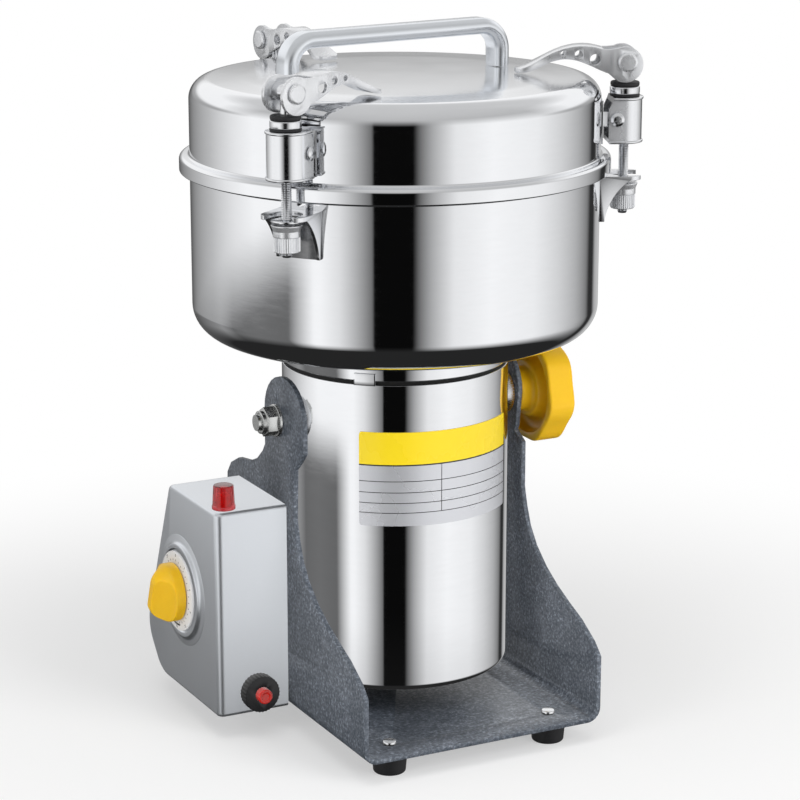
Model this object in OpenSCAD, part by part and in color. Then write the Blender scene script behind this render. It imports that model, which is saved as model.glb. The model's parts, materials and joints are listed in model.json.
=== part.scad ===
// Swing-type electric grain mill: a tilting motor head with a steel bowl in a folded stand.
// Millimetres, +Z up. X runs along the tilt axis, -Y is the front.
// The origin is the centre of the bounding box at floor level.

/* [Stand] */
// Gap between the motor housing and each side plate
side_gap = 7.9; // [7:0.1:10]
// Depth of the base plate, front to back
frame_d = 238; // [226:1:250]
// Thickness of the folded steel sheet
sheet_t = 3; // [2:0.5:4]
// Outer radius of the two folds
fold_r = 9; // [6:0.5:12]
// Height of the rubber feet
foot_h = 14; // [10:1:20]
// Radius of a rubber foot at its top
foot_r = 11; // [9:0.5:13]
// Half the distance between feet, left to right
foot_x = 55; // [45:1:60]
// Half the distance between feet, front to back
foot_y = 100; // [85:1:105]
// Height of the tilt axis above the underside of the base
pivot_rise = 183.6; // [182:0.2:192]
// Height of the ear above the tilt axis
ear_rise = 29; // [24:1:34]

/* [Control box] */
// Distance the box stands out from the side plate
box_w = 47; // [42:1:52]
// Wall of the box cover
box_wall = 2; // [1.5:0.5:3]
// Height of the box
box_h = 131.5; // [125:0.5:136]
// Front of the box, ahead of the tilt axis
box_front = 12.8; // [10:0.2:16]
// Diameter of the timer dial
dial_d = 51; // [46:1:54]
// Diameter of the timer knob
knob_d = 37; // [32:1:40]
// How far the timer knob stands out from the dial
knob_h = 17; // [14:0.5:20]
// Diameter of the indicator lamp
lamp_d = 14.5; // [12:0.5:16]
// Height of the indicator lamp
lamp_h = 15; // [10:0.5:18]
// Diameter of the knurled ring of the overload breaker
breaker_d = 23.5; // [21:0.5:25]
// Diameter of the reset button
button_d = 9.5; // [8:0.5:11]

/* [Motor head] */
// Outer radius of the motor housing
housing_r = 70.4; // [70:0.1:71]
// Wall of the motor housing
housing_wall = 1.5; // [1:0.25:2]
// Height of the motor housing
housing_h = 194.1; // [190:0.1:196]
// Height of the housing above the tilt axis
housing_rise = 30.2; // [28:0.2:32]
// Height of the neck ring
neck_h = 16.7; // [14:0.1:20]
// Radius of the pivot stud and of the lock stud
stud_r = 5; // [4:0.5:6]
// Radius of the motor shaft at its bearings
shaft_r = 8.5; // [7.5:0.5:9.5]

/* [Bowl and lid] */
// Outer radius of the bowl and lid walls
bowl_r = 125; // [123:0.5:127]
// Wall of the bowl
bowl_wall = 2; // [1.5:0.5:2.5]
// Height of the bowl up to its rolled rim
bowl_h = 104.5; // [100:0.5:110]
// Radius of the bowl's bottom corner
bowl_corner = 19; // [14:1:24]
// How far the rolled rims stand out from the walls
rim_out = 6.4; // [5.6:0.1:7.4]
// Height of the lid above its rim face
lid_h = 50.9; // [49:0.1:52]
// Radius of the lid's top corner
lid_corner = 12.5; // [11:0.5:13]
// Wall of the lid
lid_wall = 1.5; // [1:0.25:2]
// Height of the lid handle above the lid
handle_h = 31.3; // [26:0.1:38]
// Half the distance between the legs of the lid handle
handle_x = 76.5; // [68:0.5:84]
// Turn of the lid with its handle and clamps about the bowl axis, in degrees
lid_turn = 7; // [0:1:12]
// Gap between the blade tips and the bowl wall
blade_gap = 25; // [15:1:40]

/* [Lid clamps] */
// Distance of the draw bolts from the rolled rims
bolt_out = 9.1; // [8.6:0.1:9.6]
// Radius of the draw bolt
bolt_r = 3.1; // [2.8:0.1:3.3]
// Radius of the cam discs
cam_r = 10.8; // [10.4:0.1:11.2]
// Distance between the cam pin and the centre of the cam discs
cam_offset = 2; // [1.5:0.1:2.2]
// Length of a clamp lever from the cam centre
lever_l = 66; // [60:1:70]
// Height of a clamp sleeve
sleeve_h = 28; // [26:0.5:29]
// Radius of the thumb nut's flared head
nut_r = 9; // [8:0.1:9.2]

/* [Tilt lock] */
// Radius of the lock knob
lock_r = 35; // [30:0.5:38]
// Number of lobes on the lock knob
lock_lobes = 7; // [5:1:9]

/* [Hidden] */
$fn = 72;

// Overrun of every cut
cut = 1;
// Gap between faces that lie on each other but move
face_gap = 0.3;
// Radial clearance of a shaft, pin or bolt in its bore
fit = 0.08;
// Gap round a piece that is seated in the same assembly
seat = 0.05;
// Segments of a rounded corner, and of the widest rounds
arc_n = 7;
fine_n = 180;

// Heights of the main levels
base_z = foot_h;
pivot_z = base_z + pivot_rise;
housing_top = pivot_z + housing_rise;
housing_bottom = housing_top - housing_h;
seam_h = 2;
neck_bottom = housing_top + seam_h;
bowl_bottom = neck_bottom + neck_h;
bowl_rim = bowl_bottom + bowl_h;
rim_h = 4;
gasket_t = 1.3;
lid_rim = bowl_rim + face_gap + gasket_t;
lid_top = lid_rim + lid_h;
lid_dome = 1;
lid_rim_h = 4.6;

// Plates of the stand
plate_in = housing_r + side_gap;
plate_out = plate_in + sheet_t;
frame_w = 2 * plate_out;
half_d = frame_d / 2;

// Extent of the whole mill, for the origin at the centre of its box
dial_t = 1.6;
boss_h = 2.6;
knob_gap = 0.5;
rim_r = bowl_r + rim_out;
bolt_x = rim_r + bolt_out;
fork_lip = 1;
fork_reach = bolt_x + nut_r + fork_lip;
sleeve_front = 11.5;
clamp_out = bolt_x + sleeve_front;
box_left = plate_out + box_w + boss_h + dial_t + knob_gap + knob_h;
sleeve_half = 12.2;
clamp_turns = [-60, 60, 180];
fork_half = 14;
fork_round = 7;
fork_turn = clamp_turns[1] + lid_turn;
box_right = (fork_reach - fork_round) * sin(fork_turn)
    + (fork_half - fork_round) * cos(fork_turn) + fork_round;
box_back = (clamp_out - sleeve_half) * cos(lid_turn) + sleeve_half;
head_x = (box_left - box_right) / 2;
head_y = (rim_r - box_back) / 2;

// Clamp stack, from the sleeve up to the cam discs
sleeve_wall = 2;
sleeve_cap = 3;
sleeve_drop = 13.5;
lip = 1.2;
sleeve_top = lid_top - sleeve_drop;
sleeve_bottom = sleeve_top - sleeve_h;
swing_lift = 1;
swing_back = 6;
swing_z = (sleeve_top + sleeve_bottom) / 2 + swing_lift;
swing_x = bolt_x - swing_back;
thin_washer_t = 1.5;
steel_washer_t = 4.5;
cushion_t = 2.75;
washer_r = 9.2;
stack_top = sleeve_top + thin_washer_t + steel_washer_t + cushion_t + 3 * seat;
cam_phase = 40;
pin_z = stack_top + face_gap + cam_r + cam_offset * cos(cam_phase);
cam_z = pin_z - cam_offset * cos(cam_phase);
cam_x = bolt_x - cam_offset * sin(cam_phase);
lever_turns = [-22, 0, 0];

// Corner and outline helpers
function unit(v) = v / norm(v);
function wrap(a) = a > 180 ? a - 360 : (a < -180 ? a + 360 : a);
function arc(c, r, a0, a1, n = arc_n) =
    [for (i = [0 : n]) c + r * [cos(a0 + (a1 - a0) * i / n), sin(a0 + (a1 - a0) * i / n)]];
function corner(a, b, c, r) =
    let (
        u = unit(a - b),
        v = unit(c - b),
        half = acos(u * v) / 2,
        centre = b + unit(u + v) * r / sin(half),
        start = b + u * r / tan(half) - centre,
        stop = b + v * r / tan(half) - centre,
        a0 = atan2(start[1], start[0]),
        a1 = atan2(stop[1], stop[0])
    )
    arc(centre, r, a0, a0 + wrap(a1 - a0));
function rounded(points, radii) =
    let (n = len(points))
    [for (i = [0 : n - 1]) each (
        radii[i] > 0
            ? corner(points[(i + n - 1) % n], points[i], points[(i + 1) % n], radii[i])
            : [points[i]]
    )];

module at_head() {
    translate([head_x, head_y, 0]) children();
}

// Along X through the tilt axis: the child's +Z points to +X
module along_x(x, y, z) {
    translate([x, y, z]) rotate([0, 90, 0]) children();
}

// Stand

flare_drop = 57.6;
flare_top = pivot_rise - flare_drop;
flare_foot = 42;
neck_half = 23;
ear_half = 28;
ear_shift = 10;
ear_arch = 25;
ear_base = 12.6;
notch_drop = 25.6;
wing_y = 80;
wing_meets = 7;

// Concave sweep from the foot of a side plate to its neck, as shares of its reach and height
flare_shares = [
    [1, 0], [0.97, 0.035], [0.92, 0.09], [0.76, 0.2], [0.6, 0.275], [0.44, 0.36],
    [0.3, 0.455], [0.17, 0.58], [0.085, 0.71], [0.035, 0.85], [0.008, 0.96], [0, 1],
];

// Foot of the ear on its wide and on its narrow side, as shares of the overhang and of its height
wide_foot_shares = [[0.1, 0], [0.6, 0.51], [1, 1]];
narrow_foot_shares = [[0.65, 0.46], [0.57, 0.23], [1, -0.23]];
// Wing behind the control box, as shares of its reach and of its drop to the sweep
wing_shares = [
    [0, -0.065], [0.058, -0.011], [0.194, 0.065], [0.379, 0.116], [0.661, 0.142],
    [0.855, 0.207], [0.952, 0.291], [1, 1],
];

function flare(side) =
    [for (s = flare_shares) [
        side * (neck_half + s[0] * (half_d - neck_half)),
        base_z + flare_foot + s[1] * (flare_top - flare_foot)
    ]];

// Ear: half an ellipse over the pivot, set to the wide side
function ear_arc(side) =
    [for (i = [0 : 2 * arc_n])
        let (a = 180 * i / (2 * arc_n))
        [
            side * (ear_shift + ear_half * cos(a)),
            pivot_z + ear_rise - ear_arch + ear_arch * sin(a)
        ]];

// Outline of a side plate: the wide side of its ear points to side * Y
module plate_outline(side, wing) {
    near = [for (i = [len(flare_shares) - 1 : -1 : 0]) flare(-side)[i]];
    narrow = ear_half - ear_shift;
    wide = ear_half + ear_shift;
    notch_z = pivot_z - notch_drop;
    foot_rise = notch_drop - ear_base;
    polygon(concat(
        [[side * half_d, base_z]],
        flare(side),
        [for (s = wide_foot_shares)
            [side * (neck_half + s[0] * (wide - neck_half)), notch_z + s[1] * foot_rise]],
        ear_arc(side),
        wing
            ? [for (s = wing_shares) [
                -side * (narrow + s[0] * (wing_y - narrow)),
                notch_z - s[1] * (notch_z - near[wing_meets][1])
            ]]
            : [for (s = narrow_foot_shares)
                [-side * s[0] * neck_half, notch_z + s[1] * foot_rise]],
        wing ? [for (i = [wing_meets + 1 : len(near) - 1]) near[i]] : near,
        [[-side * half_d, base_z]]
    ));
}

module u_section() {
    top = pivot_z + ear_rise + cut;
    difference() {
        polygon(rounded(
            [[-plate_out, top], [-plate_out, base_z], [plate_out, base_z], [plate_out, top]],
            [0, fold_r, fold_r, 0]
        ));
        polygon(rounded(
            [
                [-plate_in, top + cut], [-plate_in, base_z + sheet_t],
                [plate_in, base_z + sheet_t], [plate_in, top + cut]
            ],
            [0, fold_r - sheet_t, fold_r - sheet_t, 0]
        ));
    }
}

screw_r = 2;
screw_head_r = 4;
screw_head_h = 2.4;
screw_l = 11;
box_post_shares = [[0.12, 0.28], [0.12, 0.84], [0.52, 0.84], [0.66, 0.16]];
box_back_y = 105;
box_depth = box_back_y + box_front;
box_rise = 1.5;
box_bottom = base_z + box_rise;
lead_hole_r = 7;
lead_rise = 46;
lead_z = base_z + lead_rise;

function box_post(s) = [-box_front + s[0] * box_depth, box_bottom + s[1] * box_h];

module frame() {
    color([0.37, 0.4, 0.45]) at_head() difference() {
        intersection() {
            rotate([90, 0, 0])
                translate([0, 0, -half_d - cut])
                    linear_extrude(frame_d + 2 * cut) u_section();
            union() {
                along_plate(-1) plate_outline(-1, true);
                along_plate(1) plate_outline(1, false);
                translate([-plate_in, -half_d, base_z])
                    cube([2 * plate_in, frame_d, fold_r]);
            }
        }
        along_x(-plate_out - cut, 0, pivot_z) cylinder(r = stud_r + fit, h = frame_w + 2 * cut);
        for (x = [-foot_x, foot_x], y = [-foot_y, foot_y])
            translate([x, y, base_z - cut]) cylinder(r = screw_r + fit, h = sheet_t + 2 * cut);
        for (s = box_post_shares)
            along_x(-plate_out - cut, box_post(s)[0], box_post(s)[1])
                cylinder(r = screw_r + fit, h = sheet_t + 2 * cut);
        along_x(-plate_out - cut, 2 * lead_hole_r, lead_z)
            cylinder(r = lead_hole_r, h = sheet_t + 2 * cut);
    }
}

// Extrudes a Y-Z outline through one side plate and its fold
module along_plate(side) {
    translate([side < 0 ? -plate_out - cut : plate_out - fold_r, 0, 0])
        rotate([90, 0, 90])
            linear_extrude(fold_r + cut) children();
}

foot_taper = 1.2;

module rubber_feet() {
    color([0.09, 0.09, 0.1]) at_head()
        for (x = [-foot_x, foot_x], y = [-foot_y, foot_y])
            translate([x, y, 0]) difference() {
                cylinder(r1 = foot_r - foot_taper, r2 = foot_r, h = foot_h);
                translate([0, 0, foot_h - screw_l])
                    cylinder(r = screw_r + seat, h = screw_l + cut);
            }
}

module pan_screw() {
    cylinder(r = screw_head_r, h = screw_head_h);
    translate([0, 0, -screw_l]) cylinder(r = screw_r, h = screw_l + seat);
}

module stand_screws() {
    color([0.75, 0.76, 0.78]) at_head() {
        for (x = [-foot_x, foot_x], y = [-foot_y, foot_y])
            translate([x, y, base_z + sheet_t]) pan_screw();
        for (s = box_post_shares)
            along_x(-plate_in, box_post(s)[0], box_post(s)[1]) pan_screw();
    }
}

// Control box

box_out = plate_out + box_w;
box_top_y = 62;
box_back_z = 26.5;
box_tail_y = 82;
box_round = 6;
box_tail_round = 22;

function box_points(inset) = [
    [-box_front + inset, box_bottom + inset],
    [-box_front + inset, box_bottom + box_h - inset],
    [box_top_y - inset, box_bottom + box_h - inset],
    [box_back_y - inset, box_bottom + box_back_z],
    [box_tail_y - inset, box_bottom + inset],
];

module box_outline(inset) {
    radii = [0, 0, box_round - inset, box_tail_round - inset, box_tail_round - inset];
    polygon(rounded(box_points(inset), radii));
}

timer_y = 42.5;
timer_rise = 67.1;
timer_z = box_bottom + timer_rise;
boss_r = 30;
timer_neck_r = 5;
lamp_out = 37;
lamp_x = plate_out + lamp_out;
lamp_y = -2;
lamp_base_r = 5;
breaker_out = 21;
breaker_x = plate_out + breaker_out;
breaker_rise = 14.2;
breaker_z = box_bottom + breaker_rise;
breaker_neck_r = 7.5;
post_r = 4.2;
gland_share = 0.72;
gland_r = 8;
gland_hole_r = 6;

function gland_point() =
    let (a = box_points(0)[2], b = box_points(0)[3])
    a + gland_share * (b - a);
function gland_tilt() =
    let (d = box_points(0)[3] - box_points(0)[2])
    atan2(d[0], -d[1]);

// The child's +Z points out of the slanted back of the box
module at_gland(x) {
    translate([x, gland_point()[0], gland_point()[1]])
        rotate([gland_tilt() - 90, 0, 0]) children();
}

gland_out = 22;
gland_x = plate_out + gland_out;

module control_box() {
    color([0.72, 0.74, 0.77]) at_head() difference() {
        union() {
            difference() {
                translate([-box_out, 0, 0]) rotate([90, 0, 90])
                    linear_extrude(box_w) box_outline(0);
                translate([-box_out + box_wall, 0, 0]) rotate([90, 0, 90])
                    linear_extrude(box_w) box_outline(box_wall);
            }
            along_x(-box_out - boss_h, timer_y, timer_z) cylinder(r = boss_r, h = boss_h + box_wall);
            for (s = box_post_shares)
                along_x(-box_out + box_wall / 2, box_post(s)[0], box_post(s)[1])
                    cylinder(r = post_r, h = box_w - box_wall / 2);
        }
        for (s = box_post_shares)
            along_x(-plate_out - screw_l, box_post(s)[0], box_post(s)[1])
                cylinder(r = screw_r + seat, h = screw_l + cut);
        along_x(-box_out - boss_h - cut, timer_y, timer_z)
            cylinder(r = timer_neck_r + seat, h = boss_h + box_wall + 2 * cut);
        translate([-lamp_x, lamp_y, box_bottom + box_h - box_wall - cut])
            cylinder(r = lamp_base_r + seat, h = box_wall + 2 * cut);
        translate([-breaker_x, -box_front - cut, breaker_z]) rotate([-90, 0, 0])
            cylinder(r = breaker_neck_r + seat, h = box_wall + 2 * cut);
        at_gland(-gland_x) translate([0, 0, -2 * box_wall])
            cylinder(r = gland_hole_r + seat, h = 4 * box_wall);
    }
}

timer_case = 40;
timer_case_h = 24;
timer_bore_r = 3;
timer_neck_in = 1;

module timer_body() {
    case_x = -box_out + box_wall;
    color([0.9, 0.9, 0.88]) at_head() difference() {
        union() {
            translate([case_x, timer_y - timer_case / 2, timer_z - timer_case / 2])
                cube([timer_case_h, timer_case, timer_case]);
            along_x(-box_out - boss_h + timer_neck_in, timer_y, timer_z)
                cylinder(r = timer_neck_r, h = boss_h + box_wall);
        }
        along_x(-box_out - boss_h, timer_y, timer_z)
            cylinder(r = timer_bore_r + fit, h = timer_case_h / 2 + boss_h + box_wall);
    }
}

module timer_dial() {
    color([0.95, 0.95, 0.94]) at_head()
        along_x(-box_out - boss_h - dial_t, timer_y, timer_z) difference() {
            cylinder(d = dial_d, h = dial_t);
            translate([0, 0, -cut]) cylinder(r = timer_bore_r + fit, h = dial_t + 2 * cut);
        }
}

knob_skirt = 6;
grip_w = 11;
grip_round = 3;

module timer_knob() {
    back = -box_out - boss_h - dial_t - knob_gap;
    color([1, 0.78, 0.12]) at_head() {
        along_x(back - knob_skirt, timer_y, timer_z) cylinder(d = knob_d, h = knob_skirt);
        translate([back - knob_h, timer_y, timer_z]) rotate([90, 0, 90]) linear_extrude(knob_h)
            polygon(rounded(
                [
                    [-grip_w / 2, -knob_d / 2], [grip_w / 2, -knob_d / 2],
                    [grip_w / 2, knob_d / 2], [-grip_w / 2, knob_d / 2]
                ],
                [grip_round, grip_round, grip_round, grip_round]
            ));
        along_x(back - knob_skirt / 2, timer_y, timer_z)
            cylinder(r = timer_bore_r, h = knob_skirt / 2 + dial_t + boss_h + timer_case_h / 3);
    }
}

module indicator_lamp() {
    top = box_bottom + box_h;
    collar_h = 2;
    color([0.75, 0.08, 0.06]) at_head() translate([-lamp_x, lamp_y, top]) {
        cylinder(d = lamp_d, h = collar_h);
        translate([0, 0, collar_h])
            cylinder(d1 = lamp_d - lip, d2 = lamp_d - 2 * lip, h = lamp_h - collar_h);
        translate([0, 0, -lamp_h]) cylinder(r = lamp_base_r, h = lamp_h + seat);
    }
}

ring_h = 8;
ring_teeth = 32;
tooth_h = 0.5;
button_out = 5;
button_travel = 3;
breaker_l = 30;
breaker_case = 19;

// Round outline with fine teeth
module knurled(r, teeth, depth) {
    polygon([for (i = [0 : 2 * teeth - 1])
        (r - (i % 2) * depth) * [cos(180 * i / teeth), sin(180 * i / teeth)]]);
}

module breaker_body() {
    color([0.06, 0.06, 0.07]) at_head()
        translate([-breaker_x, -box_front, breaker_z]) rotate([-90, 0, 0]) difference() {
            union() {
                translate([0, 0, -ring_h]) linear_extrude(ring_h)
                    knurled(breaker_d / 2, ring_teeth, tooth_h);
                translate([0, 0, -cut]) cylinder(r = breaker_neck_r, h = box_wall + 2 * cut);
                translate([-breaker_case / 2, -breaker_case / 2, box_wall])
                    cube([breaker_case, breaker_case, breaker_l]);
            }
            translate([0, 0, -ring_h - cut])
                cylinder(d = button_d + 2 * fit, h = 2 * ring_h + cut);
        }
}

module reset_button() {
    color([0.85, 0.1, 0.07]) at_head()
        translate([-breaker_x, -box_front - ring_h - button_out, breaker_z]) rotate([-90, 0, 0])
            cylinder(d = button_d, h = 2 * ring_h + button_out - button_travel - face_gap);
}

module cable_gland() {
    nut_h = 5;
    dome_h = 9;
    bore_r = 3.6;
    color([0.1, 0.1, 0.11]) at_head() at_gland(-gland_x) difference() {
        union() {
            cylinder(r = gland_r + lip, h = nut_h);
            translate([0, 0, nut_h]) cylinder(r1 = gland_r, r2 = gland_hole_r, h = dome_h);
            translate([0, 0, -3 * box_wall]) cylinder(r = gland_hole_r, h = 3 * box_wall + seat);
        }
        translate([0, 0, -4 * box_wall]) cylinder(r = bore_r, h = 4 * box_wall + nut_h + dome_h + cut);
    }
}

// Motor head

housing_round = 4;
floor_w = 22.4;
floor_hole_r = housing_r - floor_w;

module motor_housing() {
    inner = housing_r - housing_wall;
    color([0.8, 0.81, 0.83]) at_head() rotate_extrude() polygon(rounded(
        [
            [floor_hole_r, housing_bottom], [housing_r, housing_bottom],
            [housing_r, housing_top], [inner, housing_top],
            [inner, housing_bottom + housing_wall], [floor_hole_r, housing_bottom + housing_wall]
        ],
        [0, housing_round, 0, 0, housing_round - housing_wall, 0]
    ));
}

cover_t = 2.5;
vent_count = 12;
vent_r = 4;
vent_share = 0.7;

module bottom_cover() {
    reach = housing_r - housing_wall - housing_round;
    color([0.12, 0.12, 0.13]) at_head()
        translate([0, 0, housing_bottom + housing_wall]) difference() {
            cylinder(r = reach, h = cover_t);
            for (i = [0 : vent_count - 1])
                rotate([0, 0, 360 * i / vent_count]) translate([vent_share * floor_hole_r, 0, -cut])
                    cylinder(r = vent_r, h = cover_t + 2 * cut);
        }
}

// Shaft levels above the housing floor
low_bearing_rise = 16;
low_bearing_z = housing_bottom + low_bearing_rise;
low_bearing_h = 10;
journal_r = 6;
low_bearing_w = 10;
low_bearing_r = journal_r + low_bearing_w;
comm_gap = 8;
comm_z = low_bearing_z + low_bearing_h + comm_gap;
comm_h = 18;
comm_w = 6.5;
comm_r = shaft_r + comm_w;
core_gap = 10;
core_z = comm_z + comm_h + core_gap;
core_h = 70;
yoke_r = housing_r - housing_wall - seat;
yoke_w = 13.85;
slot_out = yoke_r - yoke_w;
slot_w = 17;
slot_in = slot_out - slot_w;
pole_t = 2.8;
air_gap = 0.7;
core_r = slot_in - pole_t - air_gap;
winding_h = 8;
tooth_l = 7.5;
winding_r = core_r - tooth_l;
fan_gap = 2;
fan_z = core_z + core_h + 2 * winding_h + fan_gap;
fan_clear = 16.85;
fan_r = yoke_r - fan_clear;
fan_h = 12;
fan_blades = 12;
top_bearing_h = 12;
top_bearing_w = 11.5;
top_bearing_r = shaft_r + top_bearing_w;
top_bearing_drop = 2;
top_bearing_z = housing_top - top_bearing_h - top_bearing_drop;
spindle_rise = 11.5;
spindle_z = bowl_bottom + spindle_rise;
spindle_r = 6;
blade_t = 2.5;
low_spacer_h = 6;
spacer_h = 16;
spacer_w = 5;
spacer_r = spindle_r + spacer_w;
blade_nut_h = 9;
blade_nut_w = 3;
blade_nut_r = spindle_r + blade_nut_w;
spindle_tail = 2;
spindle_h = low_spacer_h + spacer_h + 2 * blade_t + blade_nut_h + spindle_tail;
chamfer = 1;

module lower_bracket() {
    inner = housing_r - housing_wall - seat;
    plate_t = 5;
    hub_wall = 4;
    arm_w = 12;
    brush_z = comm_z + comm_h / 2;
    color([0.55, 0.56, 0.58]) at_head() difference() {
        union() {
            translate([0, 0, low_bearing_z]) cylinder(r = inner, h = plate_t);
            translate([0, 0, low_bearing_z])
                cylinder(r = low_bearing_r + hub_wall, h = low_bearing_h);
            for (s = [-1, 1])
                translate([s * (comm_r + arm_w) - arm_w / 2, -arm_w / 2, low_bearing_z])
                    cube([arm_w, arm_w, brush_z + arm_w / 2 - low_bearing_z]);
        }
        translate([0, 0, low_bearing_z - cut])
            cylinder(r = low_bearing_r + seat, h = low_bearing_h + 2 * cut);
        for (i = [0 : vent_count - 1])
            rotate([0, 0, 360 * (i + 0.5) / vent_count])
                translate([floor_hole_r, 0, low_bearing_z - cut])
                    cylinder(r = vent_r, h = plate_t + 2 * cut);
        for (s = [-1, 1])
            translate([s * (comm_r + arm_w) - arm_w, -brush_w / 2 - seat, brush_z - brush_w / 2 - seat])
                cube([2 * arm_w, brush_w + 2 * seat, brush_w + 2 * seat]);
    }
}

brush_w = 7;

module carbon_brushes() {
    brush_l = 18;
    color([0.15, 0.15, 0.16]) at_head()
        for (s = [0, 180])
            rotate([0, 0, s]) difference() {
                translate([comm_r - cut, -brush_w / 2, comm_z + comm_h / 2 - brush_w / 2])
                    cube([brush_l, brush_w, brush_w]);
                translate([0, 0, comm_z]) cylinder(r = comm_r + face_gap, h = comm_h);
            }
}

module ring_bearing(outer, inner, h) {
    difference() {
        cylinder(r = outer, h = h);
        translate([0, 0, -cut]) cylinder(r = inner + fit, h = h + 2 * cut);
    }
}

module bearings() {
    color([0.7, 0.7, 0.72]) at_head() {
        translate([0, 0, low_bearing_z]) ring_bearing(low_bearing_r, journal_r, low_bearing_h);
        translate([0, 0, top_bearing_z]) ring_bearing(top_bearing_r, shaft_r, top_bearing_h);
    }
}

module bearing_plate() {
    inner = housing_r - housing_wall - seat;
    flange_r = housing_r - chamfer;
    spigot_h = 5;
    hub_wall = 4;
    neck_bore = shaft_r + 2 * chamfer;
    color([0.05, 0.05, 0.06]) at_head() difference() {
        union() {
            translate([0, 0, housing_top]) cylinder(r = flange_r, h = seam_h);
            translate([0, 0, housing_top - spigot_h]) cylinder(r = inner, h = spigot_h + seat);
            translate([0, 0, top_bearing_z])
                cylinder(r = top_bearing_r + hub_wall, h = housing_top - top_bearing_z);
        }
        translate([0, 0, top_bearing_z - cut])
            cylinder(r = top_bearing_r + seat, h = top_bearing_h + cut + seat);
        translate([0, 0, top_bearing_z]) cylinder(r = neck_bore, h = 2 * top_bearing_h);
        at_bowl_screws(housing_top - spigot_h - cut)
            cylinder(r = bowl_screw_r + seat, h = spigot_h + seam_h + 2 * cut);
    }
}

bowl_screw_r = 2.5;
bowl_screw_in = 18.4;
bowl_screw_at = housing_r - bowl_screw_in;

module at_bowl_screws(z) {
    for (a = [45 : 90 : 315]) rotate([0, 0, a]) translate([bowl_screw_at, 0, z]) children();
}

module bowl_screws() {
    head_h = 3;
    head_r = 5;
    color([0.75, 0.76, 0.78]) at_head()
        at_bowl_screws(housing_top - head_h) {
            cylinder(r = bowl_screw_r, h = bowl_bottom + bowl_wall - housing_top + head_h + seat);
            translate([0, 0, bowl_bottom + bowl_wall - housing_top + head_h])
                cylinder(r = head_r, h = head_h);
        }
}

module neck_ring() {
    color([0.82, 0.83, 0.85]) at_head() translate([0, 0, neck_bottom]) difference() {
        cylinder(r = housing_r, h = neck_h);
        translate([0, 0, -cut]) cylinder(r = housing_r - 2 * housing_wall, h = neck_h + 2 * cut);
    }
}

seal_r = 14;

module grinding_bowl() {
    inner = bowl_r - bowl_wall;
    bead = 1.8;
    color([0.8, 0.81, 0.83]) at_head() difference() {
        rotate_extrude() polygon(rounded(
            [
                [seal_r + seat, bowl_bottom], [bowl_r, bowl_bottom], [bowl_r, bowl_rim - rim_h],
                [rim_r, bowl_rim - rim_h], [rim_r, bowl_rim], [inner, bowl_rim],
                [inner, bowl_bottom + bowl_wall], [seal_r + seat, bowl_bottom + bowl_wall]
            ],
            [0, bowl_corner, 0, bead, bead, 0, bowl_corner - bowl_wall, 0]
        ));
        at_bowl_screws(bowl_bottom - cut)
            cylinder(r = bowl_screw_r + seat, h = bowl_wall + 2 * cut);
    }
}

module shaft_seal() {
    seal_h = 7;
    color([0.2, 0.2, 0.21]) at_head() translate([0, 0, bowl_bottom - bowl_wall])
        ring_bearing(seal_r, shaft_r, seal_h);
}

// Label round the front of the housing, a coloured band over a plain panel
label_t = 0.4;
label_angle = 45;
label_top = 1.2;
label_h = 58.6;

module sector(r, angle) {
    reach = 2 * r / cos(angle);
    polygon([[0, 0], reach * [-sin(angle), -cos(angle)], reach * [sin(angle), -cos(angle)]]);
}

module rating_label() {
    color([0.95, 0.85, 0.1]) at_head()
        translate([0, 0, pivot_z + label_top - label_h]) linear_extrude(label_h) intersection() {
            difference() {
                circle(r = housing_r + seat + label_t, $fn = fine_n);
                circle(r = housing_r + seat, $fn = fine_n);
            }
            sector(housing_r, label_angle);
        }
}

boss_out_r = 14;
boss_in = 6;

module trunnion_bosses() {
    color([0.6, 0.61, 0.63]) at_head() difference() {
        for (s = [-1, 1])
            along_x(s > 0 ? housing_r - boss_in : -plate_in + face_gap, 0, pivot_z)
                cylinder(r = boss_out_r, h = plate_in - face_gap - housing_r + boss_in);
        translate([0, 0, pivot_z - 2 * boss_out_r]) cylinder(r = housing_r + seat, h = 4 * boss_out_r);
        along_x(-plate_out, 0, pivot_z) cylinder(r = stud_r + fit, h = frame_w);
    }
}

pivot_washer_t = 1.8;
pivot_washer_r = 10;
pivot_nut_h = 7;
pivot_nut_r = 9.4;
nut_collar_h = 2.6;
stud_tail = 2.4;

module pivot_stud() {
    left = plate_out + face_gap + pivot_washer_t + pivot_nut_h + nut_collar_h + stud_tail;
    color([0.72, 0.73, 0.75]) at_head()
        along_x(-left, 0, pivot_z) cylinder(r = stud_r, h = left - housing_r - 2 * seat);
}

module pivot_washer() {
    color([0.8, 0.81, 0.83]) at_head()
        along_x(-plate_out - face_gap - pivot_washer_t, 0, pivot_z)
            ring_bearing(pivot_washer_r, stud_r, pivot_washer_t);
}

module pivot_nut() {
    start = plate_out + face_gap + pivot_washer_t;
    color([0.74, 0.75, 0.77]) at_head() difference() {
        union() {
            along_x(-start - pivot_nut_h, 0, pivot_z) cylinder(r = pivot_nut_r, h = pivot_nut_h, $fn = 6);
            along_x(-start - pivot_nut_h - nut_collar_h, 0, pivot_z)
                cylinder(r = pivot_nut_r * cos(30) - chamfer, h = nut_collar_h + seat);
        }
        along_x(-start - pivot_nut_h - nut_collar_h - cut, 0, pivot_z)
            cylinder(r = stud_r + fit, h = pivot_nut_h + nut_collar_h + 2 * cut);
    }
}

slot_angle = 36;
coil_angle = 35;

module ring_part(outer, inner, angle, turn) {
    rotate([0, 0, turn]) intersection() {
        difference() {
            circle(r = outer);
            circle(r = inner);
        }
        sector(outer, angle);
    }
}

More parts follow.
